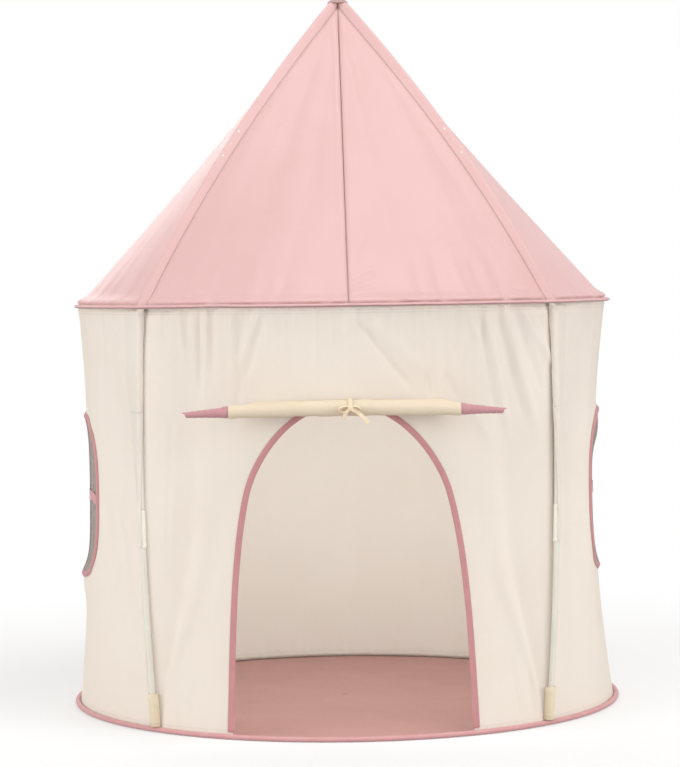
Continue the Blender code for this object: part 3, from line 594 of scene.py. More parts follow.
def wall_panel(name, spots, centre=0.0, lift=0.0, wraps=False):
    """One panel from a grid of spots: the angle off its centre, and the height."""
    points = wall_point(centre + spots[..., 0], spots[..., 1], lift)
    flat = spots * (WALL_WAIST_RADIUS, 1)
    flat = closed(flat) if wraps else flat
    cloth = (cream_cloth, "cream_cloth")
    panel = new_piece(name + "_cloth", points, flat, *cloth, name, thickness=CLOTH, wrap_columns=wraps)


side_count, arch_count = 90, 140
edge = door_line(side_count, arch_count)
edge[:, 1] = np.maximum(edge[:, 1], WALL_BOTTOM)
inner = joined(angle_on_wall(edge[:, 0], edge[:, 1]), edge[:, 1])
up_side = joined(panel_spread / 2, np.linspace(WALL_BOTTOM, panel_top, side_count))
over_top = joined(np.linspace(panel_spread / 2, 0, arch_count), panel_top)
right = np.concatenate((up_side, over_top[1:]))
outer = np.concatenate((right, right[-2::-1] * (-1, 1)))
wall_panel("wall_front", between(outer, inner, 80))

window_centres = (("left", -QUARTER), ("right", QUARTER))
corner_spots = np.array(((0.5, WALL_BOTTOM), (0.5, panel_top), (-0.5, panel_top), (-0.5, WALL_BOTTOM)))
corner_spots[:, 0] *= panel_spread
outer_parts = []
turn_parts = []
for i, count in enumerate((70, 110, 70, 110)):
    share = np.arange(count)[:, None] / count
    outer_parts.append(corner_spots[i] * (1 - share) + corner_spots[(i + 1) % 4] * share)
    turn_parts.append(-CORNER + QUARTER * (i + share[:, 0]))
outer = np.concatenate(outer_parts)
window_edge = window_line(np.concatenate(turn_parts))
for side, centre in window_centres:
    inner = joined(angle_on_wall(window_edge[:, 0], window_edge[:, 1], centre), window_edge[:, 1])
    spots = between(outer, inner, 70)
    from_edge = np.linalg.norm((spots - inner) * (WALL_WAIST_RADIUS, 1), axis=-1)
    wall_panel("wall_" + side, spots, centre, collar(from_edge), wraps=True)

across_rear = np.linspace(-0.5, 0.5, 190) * panel_spread
height, off_middle = grid(np.linspace(WALL_BOTTOM, panel_top, 100), across_rear)
wall_panel("wall_rear", joined(off_middle, height), math.pi)


# Pink tape is folded over the raw edge of the doorway and of each window and sewn
# down through both sides. It is a little puffed between its fold and its stitches.

HEM = 0.00954


def binding_section(count):
    """Half-round fold, puffed face, sewn lip, then the same inside: (grown, lift) pairs."""
    face = np.linspace(0, 1, count)
    grown = -0.0002 + face * 0.0092
    puff = 0.0011 + 0.0011 * np.sin(np.pi * np.minimum(face / 0.82, 1)) ** 0.7
    front = np.stack((grown, puff), axis=-1)
    back = np.stack((grown[::-1], -CLOTH - 0.0011 - 0.0007 * np.sin(np.pi * face)), axis=-1)
    bend = np.linspace(-np.pi / 2, -3 * np.pi / 2, 9)[1:-1]
    fold = np.stack((-0.0002 + 0.0013 * np.cos(bend), -CLOTH / 2 + 0.0018 * np.sin(bend)), axis=-1)
    inner_front = front[::-1] * (1, 0) + (0, 0.0003)
    inner_back = back[::-1] * (1, 0) - (0, CLOTH + 0.0003)
    return np.concatenate((back, fold, front, inner_front, inner_back))


def run_length(line):
    """The distance run along a line of points, from 0 at the first."""
    return np.concatenate(((0,), np.cumsum(np.linalg.norm(np.diff(line, axis=0), axis=1))))


def window_turns(count):
    return -CORNER + 2 * np.pi * np.arange(count) / count


def binding_points(edge, centre, is_window):
    """The section carried along the edge: grown along the edge's normal, lifted off the wall.

    A window's edge is closed, and stands out like a collar.
    """
    if is_window:
        along = np.roll(edge, -1, axis=0) - np.roll(edge, 1, axis=0)
    else:
        along = np.gradient(edge, axis=0)
    along = along / np.linalg.norm(along, axis=1, keepdims=True)
    normal = np.stack((along[:, 1], -along[:, 0]), axis=-1)
    section = binding_section(7)
    spots = edge[:, None] + normal[:, None] * section[None, :, :1]
    spots[..., 1] = np.maximum(spots[..., 1], HEM)
    height = spots[..., 1]
    angle = centre + angle_on_wall(spots[..., 0], height, centre)
    step = run_length(edge)
    wobble = 0.00025 * ripple(step, 0.021, 31)[:, None] * bell(section[:, 0] - 0.004, 0.003)
    radius = wall_radius(angle, height) + section[:, 1] + wobble
    if is_window:
        radius = radius + collar(section[:, 0])
    flat = joined(np.cumsum(np.abs(np.gradient(section[:, 0])))[None, :], step[:, None])
    return around(radius, angle, height), closed(flat)


binding_cloth = woven_cloth(
    "binding_cloth",
    (212, 154, 156),
    (198, 138, 141),
    thread=0.0006,
    roughness=0.7,
    sheen=0.25,
    through=0.08,
    blotch=30.0,
    stitch_and_shade_lines=((0, 0.0078),),
)
tape = (binding_cloth, "pink_piping")

edge = door_line(110, 110)
points, flat = binding_points(edge[edge[:, 1] > HEM], 0.0, False)
new_piece("door_binding_tape", points, flat, *tape, "door_binding", wrap_columns=True, caps=True)

for side, centre in window_centres:
    points, flat = binding_points(window_line(window_turns(300)), centre, True)
    flat = np.concatenate((flat, flat[:1] + (0, 0.004)), axis=0)
    name = "window_binding_tape_" + side
    new_piece(name, points, flat, *tape, "window_trim_" + side, wrap_columns=True, wrap_rows=True)


# Each window is grey mosquito net, caught in the binding, with a cross of pink tape
# sewn over it like glazing bars.

BAR_HALF_WIDTH = 0.0095
NET_THREAD = 0.0016
NET_THICKNESS = 0.0006
TAPE_THICKNESS = 0.0008

net, tree = new_surface("net")
places = add_node(tree, "TexCoord").outputs
threads = [wave_lines(tree, places["UV"], way, NET_THREAD) for way in "XY"]
threads = maths(tree, "MAXIMUM", *threads)
solid_share = maths(tree, "MULTIPLY", maths(tree, "GREATER_THAN", threads, 0.62), 0.62)
inputs = {
    "Base Color": mixed(
        tree, noise(tree, places["Object"], 9.0, 2.0), linear((150, 143, 136)), linear((174, 167, 159))
    ),
    "Roughness": 0.75,
    "Alpha": maths(tree, "ADD", solid_share, 0.34),
    "Normal": bump(tree, threads, 0.6, 0.0003),
}
add_node(tree, "OutputMaterial", {"Surface": add_node(tree, "BsdfPrincipled", inputs)})

bar_cloth = woven_cloth(
    "bar_cloth",
    (228, 176, 176),
    (216, 160, 161),
    thread=0.0006,
    roughness=0.7,
    sheen=0.25,
    through=0.12,
    blotch=30.0,
    stitch_and_shade_lines=((0, 0.0018), (0, 0.0172)),
)


def net_dip(across, height):
    """How far the net is set back: 1 less the sixth power of the share of the way out."""
    wide, tall = np.abs(across / WINDOW_HALF_WIDTH), np.abs((height - WINDOW_CENTRE) / WINDOW_HALF_HEIGHT)
    share = np.minimum((wide**3.2 + tall**3.2) ** (1 / 3.2), 1)
    return collar(0) * share**6 - 0.0035 * (1 - share**6)


middle = np.array((0, WINDOW_CENTRE))
for side, centre in window_centres:
    edge = window_line(window_turns(200))
    edge = edge + (middle - edge) * 0.006
    spots = (edge - middle) * np.linspace(0.02, 1, 60)[:, None, None] ** 0.8 + middle
    across, height = spots[..., 0], spots[..., 1]
    angle = centre + angle_on_wall(across, height, centre)
    points = wall_point(angle, height, net_dip(across, height) - 0.0002)[::-1]
    flat = closed(spots)[::-1]
    look = (net, "window_mesh", "window_mesh_" + side)
    name = "window_net_" + side
    pane = new_piece(name, points, flat, *look, thickness=NET_THICKNESS, wrap_columns=True)
    for way, half_wide, half_tall, wide, tall, lift in (
        ("upright", BAR_HALF_WIDTH, WINDOW_HALF_HEIGHT, 20, 120, 0.0013),
        ("level", WINDOW_HALF_WIDTH, BAR_HALF_WIDTH, 160, 20, 0.0021),
    ):
        up, across = grid(np.linspace(-half_tall, half_tall, tall), np.linspace(-half_wide, half_wide, wide))
        height = WINDOW_CENTRE + up
        angle = centre + angle_on_wall(across, height, centre)
        points = wall_point(angle, height, lift + net_dip(across, height))
        flat = joined(across, up) if way == "upright" else joined(up, across)
        flat = flat + (BAR_HALF_WIDTH, 0.0)
        name = "window_bar_" + way + "_" + side
        new_piece(name, points, flat, bar_cloth, "pink_piping", thickness=TAPE_THICKNESS)


# Each pole is four grey plastic tubes in two white straight connectors and a white
# elbow at the eave. It is bowed by the cloth's pull and stands in a sewn foot pocket.

TIP_RADIUS = 0.016
TIP_HEIGHT = 1.335
ROOF_BOW = 0.034
TUBE_RADIUS = 0.00525
TUBE_BORE = TUBE_RADIUS - 0.0011
TUBE_RIM = 0.0006
CONNECTOR_RADIUS = 0.006736
CONNECTOR_BORE = TUBE_RADIUS + 0.0003
ELBOW_BEND = 0.012
TUBES = (
    ("_lower_tube", FOOT_HEIGHT, 0.3655),
    ("_upper_tube", 0.3675, 0.746),
    ("_roof_lower_tube", 0.774, 1.0593),
    ("_roof_upper_tube", 1.0607, TIP_HEIGHT),
)
CONNECTORS = (("_mid_connector", 0.3330, 0.4000), ("_roof_connector", 1.0352, 1.0848))
ELBOW_LOW = 0.7241
ELBOW_HIGH = 0.7898
CORNERS = (("front_left", -1, -1), ("front_right", 1, -1), ("rear_right", 1, 1), ("rear_left", -1, 1))


def pole_point(height, side, rear):
    """The pole's centre line: straight from foot to knee to tip, plus 4t(1-t) of bow."""
    outward = np.array((side, rear)) / math.sqrt(2)
    across = np.array((side, -rear)) / math.sqrt(2)
    foot = FOOT_RADIUS * (outward * math.cos(FOOT_LEAN) - across * math.sin(FOOT_LEAN))
    knee, tip = outward * KNEE_RADIUS, outward * TIP_RADIUS
    height = np.asarray(height, float)[..., None]
    low = height <= KNEE_HEIGHT
    wall_share = (height - FOOT_HEIGHT) / (KNEE_HEIGHT - FOOT_HEIGHT)
    share = np.where(low, wall_share, (height - KNEE_HEIGHT) / (TIP_HEIGHT - KNEE_HEIGHT))
    bow = np.where(low, WALL_BOW, ROOF_BOW)
    start = np.where(low, foot, knee)
    end = np.where(low, knee, tip)
    plan = start + (end - start) * share + outward * (4 * share * (1 - share) * bow)
    return np.concatenate((plan, height), axis=-1)


def tube_flat(sides, girth, along):
    """A tube's UVs, as if cut open: its girth one way, the distance along the other."""
    return joined((np.arange(sides + 1) / sides * girth)[None, :], along[:, None])


def pipe_points(line, profile, sides):
    """Rings round a line: profile pairs of (share of its length, radius), each ring square to it."""
    length = run_length(line)
    at = np.clip(profile[:, 0], 0, 1) * length[-1]
    centre = np.stack([np.interp(at, length, line[:, k]) for k in range(3)], axis=-1)
    slope = np.gradient(line, axis=0)
    along = np.stack([np.interp(at, length, slope[:, k]) for k in range(3)], axis=-1)
    along = along / np.linalg.norm(along, axis=1, keepdims=True)
    outward = np.array((line[0, 0], line[0, 1], 0.0))
    right = np.cross(along, outward / np.linalg.norm(outward))
    right = right / np.linalg.norm(right, axis=1, keepdims=True)
    front = np.cross(right, along)
    turn = 2 * np.pi * np.arange(sides)[None, :, None] / sides
    rings = front[:, None] * np.cos(turn) - right[:, None] * np.sin(turn)
    flat = tube_flat(sides, 2 * np.pi * profile[:, 1].max(), at)
    flat = np.concatenate((flat, flat[:1]), axis=0)
    return centre[:, None] + rings * profile[:, 1][:, None, None], flat


def hollow_profile(share, radius, bore):
    """A profile up the outside and back down a bore."""
    return np.concatenate((joined(share, radius), joined(np.linspace(1, 0, 8), bore)))


def tube_profile(length):
    """A hollow tube with rounded rims: up the outside, over the rim and down the bore."""
    r = TUBE_RIM / length
    share = np.concatenate(((0, r * 0.3, r), np.linspace(0.02, 0.98, 24), (1 - r, 1 - r * 0.3, 1)))
    radius = np.full(len(share), TUBE_RADIUS)
    radius[[0, -1]] = TUBE_RADIUS - TUBE_RIM
    radius[[1, -2]] = TUBE_RADIUS - TUBE_RIM * 0.3
    return hollow_profile(share, radius, TUBE_BORE)


def connector_profile(length):
    """A moulded sleeve: a raised collar at each end and a rib midway."""
    share = np.linspace(0, 1, 60)
    along = share * length
    end = np.minimum(along, length - along)
    collar = 0.0005 / (1 + np.exp((end - 0.0045) / 0.0004))
    rib = 0.0004 * bell(along - length / 2, 0.0012)
    rim = 0.0007 * np.exp(-end / 0.0004)
    return hollow_profile(share, CONNECTOR_RADIUS - 0.0003 + collar + rib - rim, CONNECTOR_BORE)


def moulded_plastic(name, colour, shade, roughness, grain):
    """Plastic: a slow drift of colour along it, fine drawn or moulded grain in the bump."""
    surface, tree = new_surface(name)
    places = add_node(tree, "TexCoord").outputs
    drift = noise(tree, places["Object"], 12.0, 3.0)
    fine = noise(tree, add_node(tree, "Mapping", {"Vector": places["UV"], "Scale": grain}), 1.0, 2.0)
    inputs = {
        "Base Color": mixed(tree, drift, linear(shade), linear(colour)),
        "Roughness": add_node(tree, "MapRange", {0: fine, 3: roughness - 0.08, 4: roughness + 0.08}),
        "Normal": bump(tree, fine, 0.25, 0.0002),
    }
    add_node(tree, "OutputMaterial", {"Surface": add_node(tree, "BsdfPrincipled", inputs)})
    return surface


pole_plastic = moulded_plastic("pole_plastic", (228, 225, 214), (217, 214, 203), 0.45, (500.0, 6.0, 1.0))
connector_plastic = moulded_plastic(
    "connector_plastic", (240, 238, 228), (230, 227, 215), 0.38, (260.0, 260.0, 1.0)
)
TUBE_LOOK = (tube_profile, 24, pole_plastic, "pole_plastic")
CONNECTOR_LOOK = (connector_profile, 28, connector_plastic, "connector_plastic")


def pole_part(name, ending, line, profile, sides, surface, slot):
    """One hollow part along its line, for the CAD node of the same name."""
    points, flat = pipe_points(line, profile(run_length(line)[-1]), sides)
    new_piece(name + ending, points, flat, surface, slot, name, wrap_columns=True, wrap_rows=True)


for place, side, rear in CORNERS:
    for part, low, high in TUBES:
        line = pole_point(np.linspace(low, high, 60), side, rear)
        pole_part("pole_" + place + part, "_round", line, *TUBE_LOOK)
    for part, low, high in CONNECTORS:
        line = pole_point(np.linspace(low, high, 30), side, rear)
        pole_part("pole_" + place + part, "_sleeve", line, *CONNECTOR_LOOK)
    foot, knee, head = pole_point((ELBOW_LOW, KNEE_HEIGHT, ELBOW_HIGH), side, rear)
    low = knee + (foot - knee) / np.linalg.norm(foot - knee) * ELBOW_BEND
    high = knee + (head - knee) / np.linalg.norm(head - knee) * ELBOW_BEND
    bend = bezier(low, low + (knee - low) * 0.6, high + (knee - high) * 0.6, high, 24)
    line = np.concatenate((np.linspace(foot, low, 12)[:-1], bend, np.linspace(high, head, 12)[1:]))
    pole_part("pole_" + place + "_eave_elbow", "_moulding", line, *CONNECTOR_LOOK)


# Below the eave, a strip of wall cloth holds each pole. It is sewn on the pole's outer
# side and at the top, and lies open on the inner side, where the pole shows in the slit.

SLEEVE_TOP = 0.757
SLEEVE_LOW = 0.575
FLAP_LOW = 0.335
SLEEVE_THICKNESS = 0.0008


def sleeve_points(low, high, side, rear, rows):
    """A strip from its inner edge round the pole's front to its outer seam on the wall.

    A fifth of it runs to the wall where its top is sewn there. Then comes an arc to 25
    degrees past the pole's outermost line, and the rest runs straight to the outer seam.
    Below the sewn top the strip starts on the arc, which opens from -150 to -30 degrees.
    """
    height = np.linspace(low, high, rows)[:, None]
    centre = pole_point(height[:, 0], side, rear)[:, None, :2]
    outward = centre / np.linalg.norm(centre, axis=-1, keepdims=True)
    inner_way = side * rear
    outer = np.stack((outward[..., 1], -outward[..., 0]), axis=-1) * inner_way
    pole_angle = np.arctan2(centre[..., 0], -centre[..., 1])
    opens_at = (FLAP_LOW, 0.40, 0.46, 0.52, 0.57, 0.62, 0.72)
    opening = np.interp(height, opens_at, (-30, -36, -52, -84, -120, -148, -150))
    sewn = np.clip((height - 0.728) / 0.012, 0, 1)
    share = 0.2 * (1 - sewn) + (1 - 0.2 * (1 - sewn)) * np.linspace(0, 1, 48)
    turn = np.radians(opening + (25 - opening) * np.clip((share - 0.2) / 0.35, 0, 1))[..., None]
    hold = np.interp(height, (0.401, 0.412, 0.705, 0.722), (0.0079, 0.0066, 0.0069, 0.0080))[..., None]
    hold = hold + 0.0003 * ripple(height + 0.1 * share, 0.041, 41)[..., None]
    arc = centre + hold * (outward * np.cos(turn) + outer * np.sin(turn))
    inner_angle = pole_angle + inner_way * 0.0190
    widens_at = (FLAP_LOW, 0.40, 0.50, 0.62, SLEEVE_TOP)
    outer_width = np.interp(height, widens_at, (0.022, 0.036, 0.066, 0.098, 0.110))
    outer_angle = pole_angle - inner_way * outer_width
    seams = [wall_point(angle, height, 0.0003)[..., :2] for angle in (inner_angle, outer_angle)]
    to_inner = np.clip(1 - share / 0.2, 0, 1)[..., None]
    to_outer = np.clip((share - 0.55) / 0.45, 0, 1)[..., None]
    plan = arc * (1 - to_inner - to_outer) + seams[0] * to_inner + seams[1] * to_outer
    points, flat = joined(plan[..., 0], plan[..., 1], height), joined(share * 0.080, height)
    if inner_way > 0:
        points, flat = points[:, ::-1], flat[:, ::-1]
    return points, flat


strip = (cream_cloth, "cream_cloth")
for place, side, rear in CORNERS:
    points, flat = sleeve_points(SLEEVE_LOW, SLEEVE_TOP, side, rear, 90)
    name = "sleeve_" + place
    sleeve = new_piece(name + "_cloth", points, flat, *strip, name, thickness=SLEEVE_THICKNESS)
    points, flat = sleeve_points(FLAP_LOW, SLEEVE_LOW, side, rear, 110)
    flap = new_piece("sleeve_flap_" + place, points, flat, *strip, thickness=SLEEVE_THICKNESS)


# Each pole's foot stands in a pocket: a folded strip of heavier cream cloth, sewn flat to
# the wall's seam and closed below.

pocket_cloth = woven_cloth(
    "pocket_cloth",
    (246, 234, 208),
    (238, 222, 192),
    thread=0.0009,
    roughness=0.85,
    sheen=0.15,
    through=0.15,
    blotch=25.0,
    stitch_and_shade_lines=((1, 0.004), (1, 0.0065)),
)
POCKET_RADIUS = 0.0084
POCKET_LOW = 0.0102
POCKET_TOP = 0.0700


def pocket_points(side, rear):
    """A D-shaped loop: half round over the pole, then flat along the wall behind it."""
    height = np.linspace(POCKET_LOW, POCKET_TOP, 26)
    centre = pole_point(height, side, rear)
    from_axis = np.linalg.norm(centre[:, :2], axis=1)
    outward = centre[:, :2] / from_axis[:, None]
    across = np.stack((-outward[:, 1], outward[:, 0]), axis=-1)
    angle = np.arctan2(centre[:, 0], -centre[:, 1])
    to_wall = np.maximum(from_axis - wall_radius(angle, height) - 0.0006, TUBE_RADIUS + 0.0012)[:, None]
    turn = np.linspace(-np.pi / 2, np.pi / 2, 25)
    radius = POCKET_RADIUS * (1 + 0.05 * ripple(height[:, None] + turn * 0.004, 0.018, 43))
    flat_side = np.linspace(1, -1, 9)[None, :] + 0 * to_wall
    out = np.concatenate((radius * np.cos(turn), -to_wall + 0 * flat_side), axis=1)[..., None]
    sideways = np.concatenate((radius * np.sin(turn), flat_side * POCKET_RADIUS), axis=1)[..., None]
    plan = centre[:, None, :2] + outward[:, None] * out + across[:, None] * sideways
    flat = joined(np.linspace(0, 0.05, plan.shape[1] + 1)[None, :], (height - POCKET_LOW)[:, None])
    return joined(plan[..., 0], plan[..., 1], height[:, None]), flat


for place, side, rear in CORNERS:
    points, flat = pocket_points(side, rear)
    pocket = (pocket_cloth, "cream_cloth", "foot_pocket_" + place)
    new_piece("foot_pocket_" + place + "_cloth", points, flat, *pocket, thickness=CLOTH, wrap_columns=True)


# The roof is four gores of satin-faced pink polyester, seamed at the front, back and
# sides. Each has a channel sewn down its middle, over the pole, and gathers at the eave.

PEAK_HEIGHT = 1.328
PEAK_RADIUS = 0.014
ROOF_HEM = EAVE_HEIGHT + CLOTH


def pole_reach(height):
    """How far the pole's centre line is from the tent's axis at a height."""
    return np.linalg.norm(pole_point(height, 1, -1)[..., :2], axis=-1)


def roof_radius(angle, height):
    """The straight line to the peak less a small sag, drawn out to the pole by squareness."""
    share = (height - EAVE_HEIGHT) / (PEAK_HEIGHT - EAVE_HEIGHT)
    middle = WALL_TOP_RADIUS + (PEAK_RADIUS - WALL_TOP_RADIUS) * share
    middle = middle - 0.005 * (4 * share * (1 - share)) ** 2
    return middle + (pole_reach(height) - middle) * squareness(angle)


def gore_offsets(half):
    """Columns of one gore in metres from its hip: fine over the channel and at the seams."""
    zone = np.minimum(0.016, 0.55 * half)
    hem = np.minimum(0.008, 0.15 * half)
    middle = np.linspace(-1, 1, 33)[None, :] * zone[:, None]
    share = np.linspace(0, 1, 62)[None, 1:-1]
    outer = zone[:, None] + (half - hem - zone)[:, None] * share
    edge = (half - hem)[:, None] + hem[:, None] * np.linspace(0, 1, 10)[None, :]
    return np.concatenate((-edge[:, ::-1], -outer[:, ::-1], middle, outer, edge), axis=1)


SOFT_FOLDS = (
    (-38, 0.0040, 4.0, 0.10, 0.95),
    (-24, -0.0035, 4.5, 0.15, 0.90),
    (-11, -0.0030, 4.0, 0.05, 0.80),
    (9, 0.0030, 3.5, 0.35, 0.98),
    (17, -0.0045, 5.0, 0.10, 0.95),
    (30, 0.0038, 4.5, 0.10, 0.80),
    (38, -0.0040, 3.0, 0.20, 0.95),
    (62, -0.0030, 5.0, 0.10, 0.90),
    (112, -0.0035, 5.0, 0.10, 0.90),
    (152, 0.0035, 5.0, 0.10, 0.90),
    (200, -0.0035, 5.0, 0.10, 0.90),
    (247, 0.0030, 5.0, 0.10, 0.90),
    (292, -0.0030, 5.0, 0.10, 0.90),
)
SEAM_PUCKERS = (
    ((0.004, 0.800), (0.052, 0.822), 0.0045, -0.0030),
    ((0.003, 0.785), (0.050, 0.795), 0.0040, 0.0028),
    ((0.004, 0.773), (0.045, 0.776), 0.0040, -0.0026),
    ((0.010, 0.835), (0.030, 0.880), 0.0070, -0.0026),
    ((0.130, 0.775), (0.118, 0.840), 0.0060, -0.0028),
    ((0.165, 0.775), (0.150, 0.860), 0.0070, -0.0030),
    ((0.205, 0.775), (0.180, 0.850), 0.0070, 0.0026),
    ((0.240, 0.775), (0.215, 0.845), 0.0060, -0.0030),
    ((0.275, 0.775), (0.245, 0.850), 0.0070, -0.0026),
    ((-0.120, 0.775), (-0.110, 0.820), 0.0070, -0.0018),
    ((-0.240, 0.775), (-0.215, 0.830), 0.0080, -0.0020),
)


def roof_relief(angle, height, seam_distance):
    """Folds that fall from the peak, gathers that fade up from the eave, and the seams.

    A fold is a bell across its own angle and a sine between its two heights. A seam is
    a narrow groove where the gores' edges turn inwards.
    """
    share = (height - EAVE_HEIGHT) / (PEAK_HEIGHT - EAVE_HEIGHT)
    off_front = (angle + np.pi) % (2 * np.pi) - np.pi
    total = np.zeros_like(angle)
    for degrees, depth, width, low, high in SOFT_FOLDS:
        away = (off_front - math.radians(degrees) + np.pi) % (2 * np.pi) - np.pi
        span = np.clip((share - low) / (high - low), 0, 1)
        total = total + depth * bell(away, math.radians(width)) * np.sin(np.pi * span)
    arc = angle * WALL_TOP_RADIUS
    up = np.maximum(height - ROOF_HEM, 0)
    on = np.clip(up / 0.006, 0, 1)
    total = total + 0.0011 * ripple(arc, 0.026, 51) * np.exp(-up / 0.028) * on
    total = total + 0.0018 * ripple(arc, 0.075, 52) * np.exp(-up / 0.090) * on
    front = np.cos(angle) > 0.5
    across = WALL_TOP_RADIUS * (1 - share) * np.sin(angle)
    for start, end, width, depth in SEAM_PUCKERS:
        total = total + np.where(front, crease_line(across, height, start, end, width, depth), 0) * on
    groove = 0.0014 * bell(seam_distance - 0.0085, 0.0045) - 0.0030 * bell(seam_distance, 0.0026)
    puff = 0.0085 * (1 + 0.3 * ripple(arc, 0.055, 53)) * bell(up - 0.0095, 0.0075)
    return total + (groove + puff) * on


pink_satin = woven_cloth(
    "pink_satin",
    (229, 192, 191),
    (220, 179, 178),
    thread=0.0006,
    roughness=0.42,
    sheen=0.0,
    through=0.12,
    glow=(255, 236, 234),
    relief=0.00008,
    blotch=5.0,
    stitch_and_shade_lines=((0, 0.0125), (0, -0.0125)),
    stitch_and_shade_share=0.8,
    gloss=0.5,
    edge_shade=0.5,
)

TIP_RING = 0.012
steps = np.concatenate((np.linspace(0, 0.12, 34)[:-1], np.linspace(0.12, 1, 120)))
height = ROOF_HEM + (PEAK_HEIGHT + 0.012 - ROOF_HEM) * steps
reach = pole_reach(height)
radius = np.maximum(roof_radius(0.0, height), TIP_RING)
half = (QUARTER - SEAM_GAP / radius) / 2 * radius
offset = gore_offsets(half)
swing = offset / radius[:, None]
sideways = swing * reach[:, None]
lean = np.clip((height - ROOF_HEM) / 0.025, 0, 1)
square_on = (1 - lean + lean * np.sqrt(1 + np.gradient(reach, height) ** 2))[:, None]
channel = 0.0089 * bell(sideways, 0.0088) - 0.0022 * bell(np.abs(sideways) - 0.0140, 0.0018)
near_tip = np.clip((height - 1.300) / 0.04, 0, 1)[:, None]
flat = joined(sideways, run_length(joined(height, reach))[:, None])
for place, side, rear in CORNERS:
    angle = math.atan2(side, -rear) + swing
    tall = np.broadcast_to(height[:, None], angle.shape)
    base = roof_radius(angle, tall)
    seam_distance = (half[:, None] - np.abs(offset)) * (base / radius[:, None])
    relief = roof_relief(angle, tall, seam_distance) * (1 - bell(sideways, 0.02))
    points = around(base + channel * square_on + relief * (1 - near_tip), angle, tall)
    name = "roof_" + place
    gore = new_piece(name + "_cloth", points, flat, pink_satin, "pink_cloth", name, thickness=CLOTH)
    edge_gap = gore.data.attributes.new("edge_gap", "FLOAT", "POINT")
    edge_gap.data.foreach_set("value", seam_distance.astype(np.float32).ravel())

CAP_PROFILE = (
    ((0.0060, 1.3390), (0.0185, 1.3390), (0.0203, 1.3396), (0.0205, 1.3405), (0.0190, 1.3422))
    + ((0.0160, 1.3448), (0.0125, 1.3472), (0.0090, 1.3490), (0.0050, 1.3498), (0.0010, 1.3500))
)
turn = 2 * np.pi * np.arange(64) / 64
rim, tall = np.array(CAP_PROFILE).T[..., None]
pinch = 1 - 0.07 * bell((turn + QUARTER / 2) % QUARTER - QUARTER / 2, 0.16)
cap = (tube_flat(64, 0.12, np.linspace(0, 0.02, 10)), pink_satin, "pink_cloth", "peak_cap")
new_piece("peak_cap_cloth", around(rim * pinch, turn, tall), *cap, wrap_columns=True, caps=True)


# Pink cloth is folded round a sprung hoop at the eave and at the base, with its edges
# caught in the seam. The cloth is gathered a little by the seam's thread.

WALL_TOP_RING = 0.51042
BASE_RING = 0.52042
EAVE_BULGE = 0.02504


def piping_points(ring, height, bulge, wave, seed):
    """A ring of round sections that bulges out by squareness, crimped along the seam.

    Its height waves by a share, and lifts most in a bell 29 degrees left of the front.
    """
    angle = np.linspace(0, 2 * np.pi, 960, endpoint=False)
    turn = 2 * np.pi * np.arange(18) / 18
    arc = angle * ring
    crimp = 0.00022 * ripple(arc[None, :] + 0.0016 * np.cos(turn)[:, None], 0.009, seed)
    swell = (0.0049 if wave == 0 else 0.0043) + crimp + 0.0001 * ripple(arc, 0.05, seed + 1)[None, :]
    middle = ring + bulge * squareness(angle)
    lift = 0.0007 * bell(np.mod(angle + np.pi, 2 * np.pi) - np.pi + math.radians(29), 0.12)
    lift = wave * (0.0005 + lift + 0.0002 * ripple(arc, 0.13, seed + 2))
    radius = middle[None, :] + swell * np.cos(turn)[:, None]
    tall = height + lift[None, :] + swell * (0.924 - 0.20 * wave) * np.sin(turn)[:, None]
    flat = joined(np.append(arc, 2 * np.pi * ring)[None, :], (np.arange(19) / 18 * 0.0314)[:, None])
    return around(radius, angle[None, :], tall), flat


piping_cloth = woven_cloth(
    "piping_cloth", (224, 172, 174), (208, 150, 153), thread=0.0007, roughness=0.62, through=0.05, blotch=28.0
)
# Eleven packed rows of dashes, 0.6 mm apart, darken the eave piping's lower side into a band: painted shade
# under the piping, with the seam's own dark line.
eave_cloth = woven_cloth(
    "eave_cloth",
    (230, 190, 190),
    (216, 170, 172),
    thread=0.0007,
    roughness=0.6,
    through=0.05,
    blotch=28.0,
    stitch_and_shade_lines=[(1, 0.0243 + 0.0006 * row) for row in range(11)],
    stitch_and_shade_share=0.95,
)
for name, ring, height, bulge, wave, surface in (
    ("eave_piping", WALL_TOP_RING, EAVE_HEIGHT, EAVE_BULGE, 1.0, eave_cloth),
    ("base_piping", BASE_RING, 0.00500, 0.0, 0.0, piping_cloth),
):
    points, flat = piping_points(ring, height, bulge, wave, 61)
    new_piece(name + "_cloth", points, flat, surface, "pink_piping", name, wrap_columns=True, wrap_rows=True)

hoop_steel, tree = new_surface("hoop_steel")
scratches = noise(tree, add_node(tree, "TexCoord").outputs["Object"], 260.0, 3.0)
inputs = {
    "Base Color": mixed(tree, scratches, linear((135, 137, 141)), linear((172, 174, 178))),
    "Roughness": add_node(tree, "MapRange", {0: scratches, 3: 0.25, 4: 0.5}),
    "Metallic": 1.0,
}
add_node(tree, "OutputMaterial", {"Surface": add_node(tree, "BsdfPrincipled", inputs)})
for name in ("base_hoop", "eave_hoop"):
    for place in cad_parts[name].material_slots:
        place.material = hoop_steel


# The door curtain is rolled up from its bottom edge: one strip of cream cloth wound
# ten times, wider at its core, so that its pink bound edges step down like cones.

CURTAIN_FACE = 0.4969
CURTAIN_DROP = 0.55
ROLL_HEIGHT = 0.585
ROLL_DEPTH = 0.5117
ROLL_CORE = 0.0042
ROLL_END_RADIUS = 0.0115
ROLL_RADIUS = 0.0145
ROLL_HALF_WIDTH = 0.205
ROLL_TURNS = 10.0
ROLL_SHIFT = -0.0098
FLAP_TOP = 0.5990
FLAP_DEPTH = FLAP_TOP - ROLL_HEIGHT
FLAP_THICKNESS = 0.0006
WOUND_THICKNESS = 0.0004


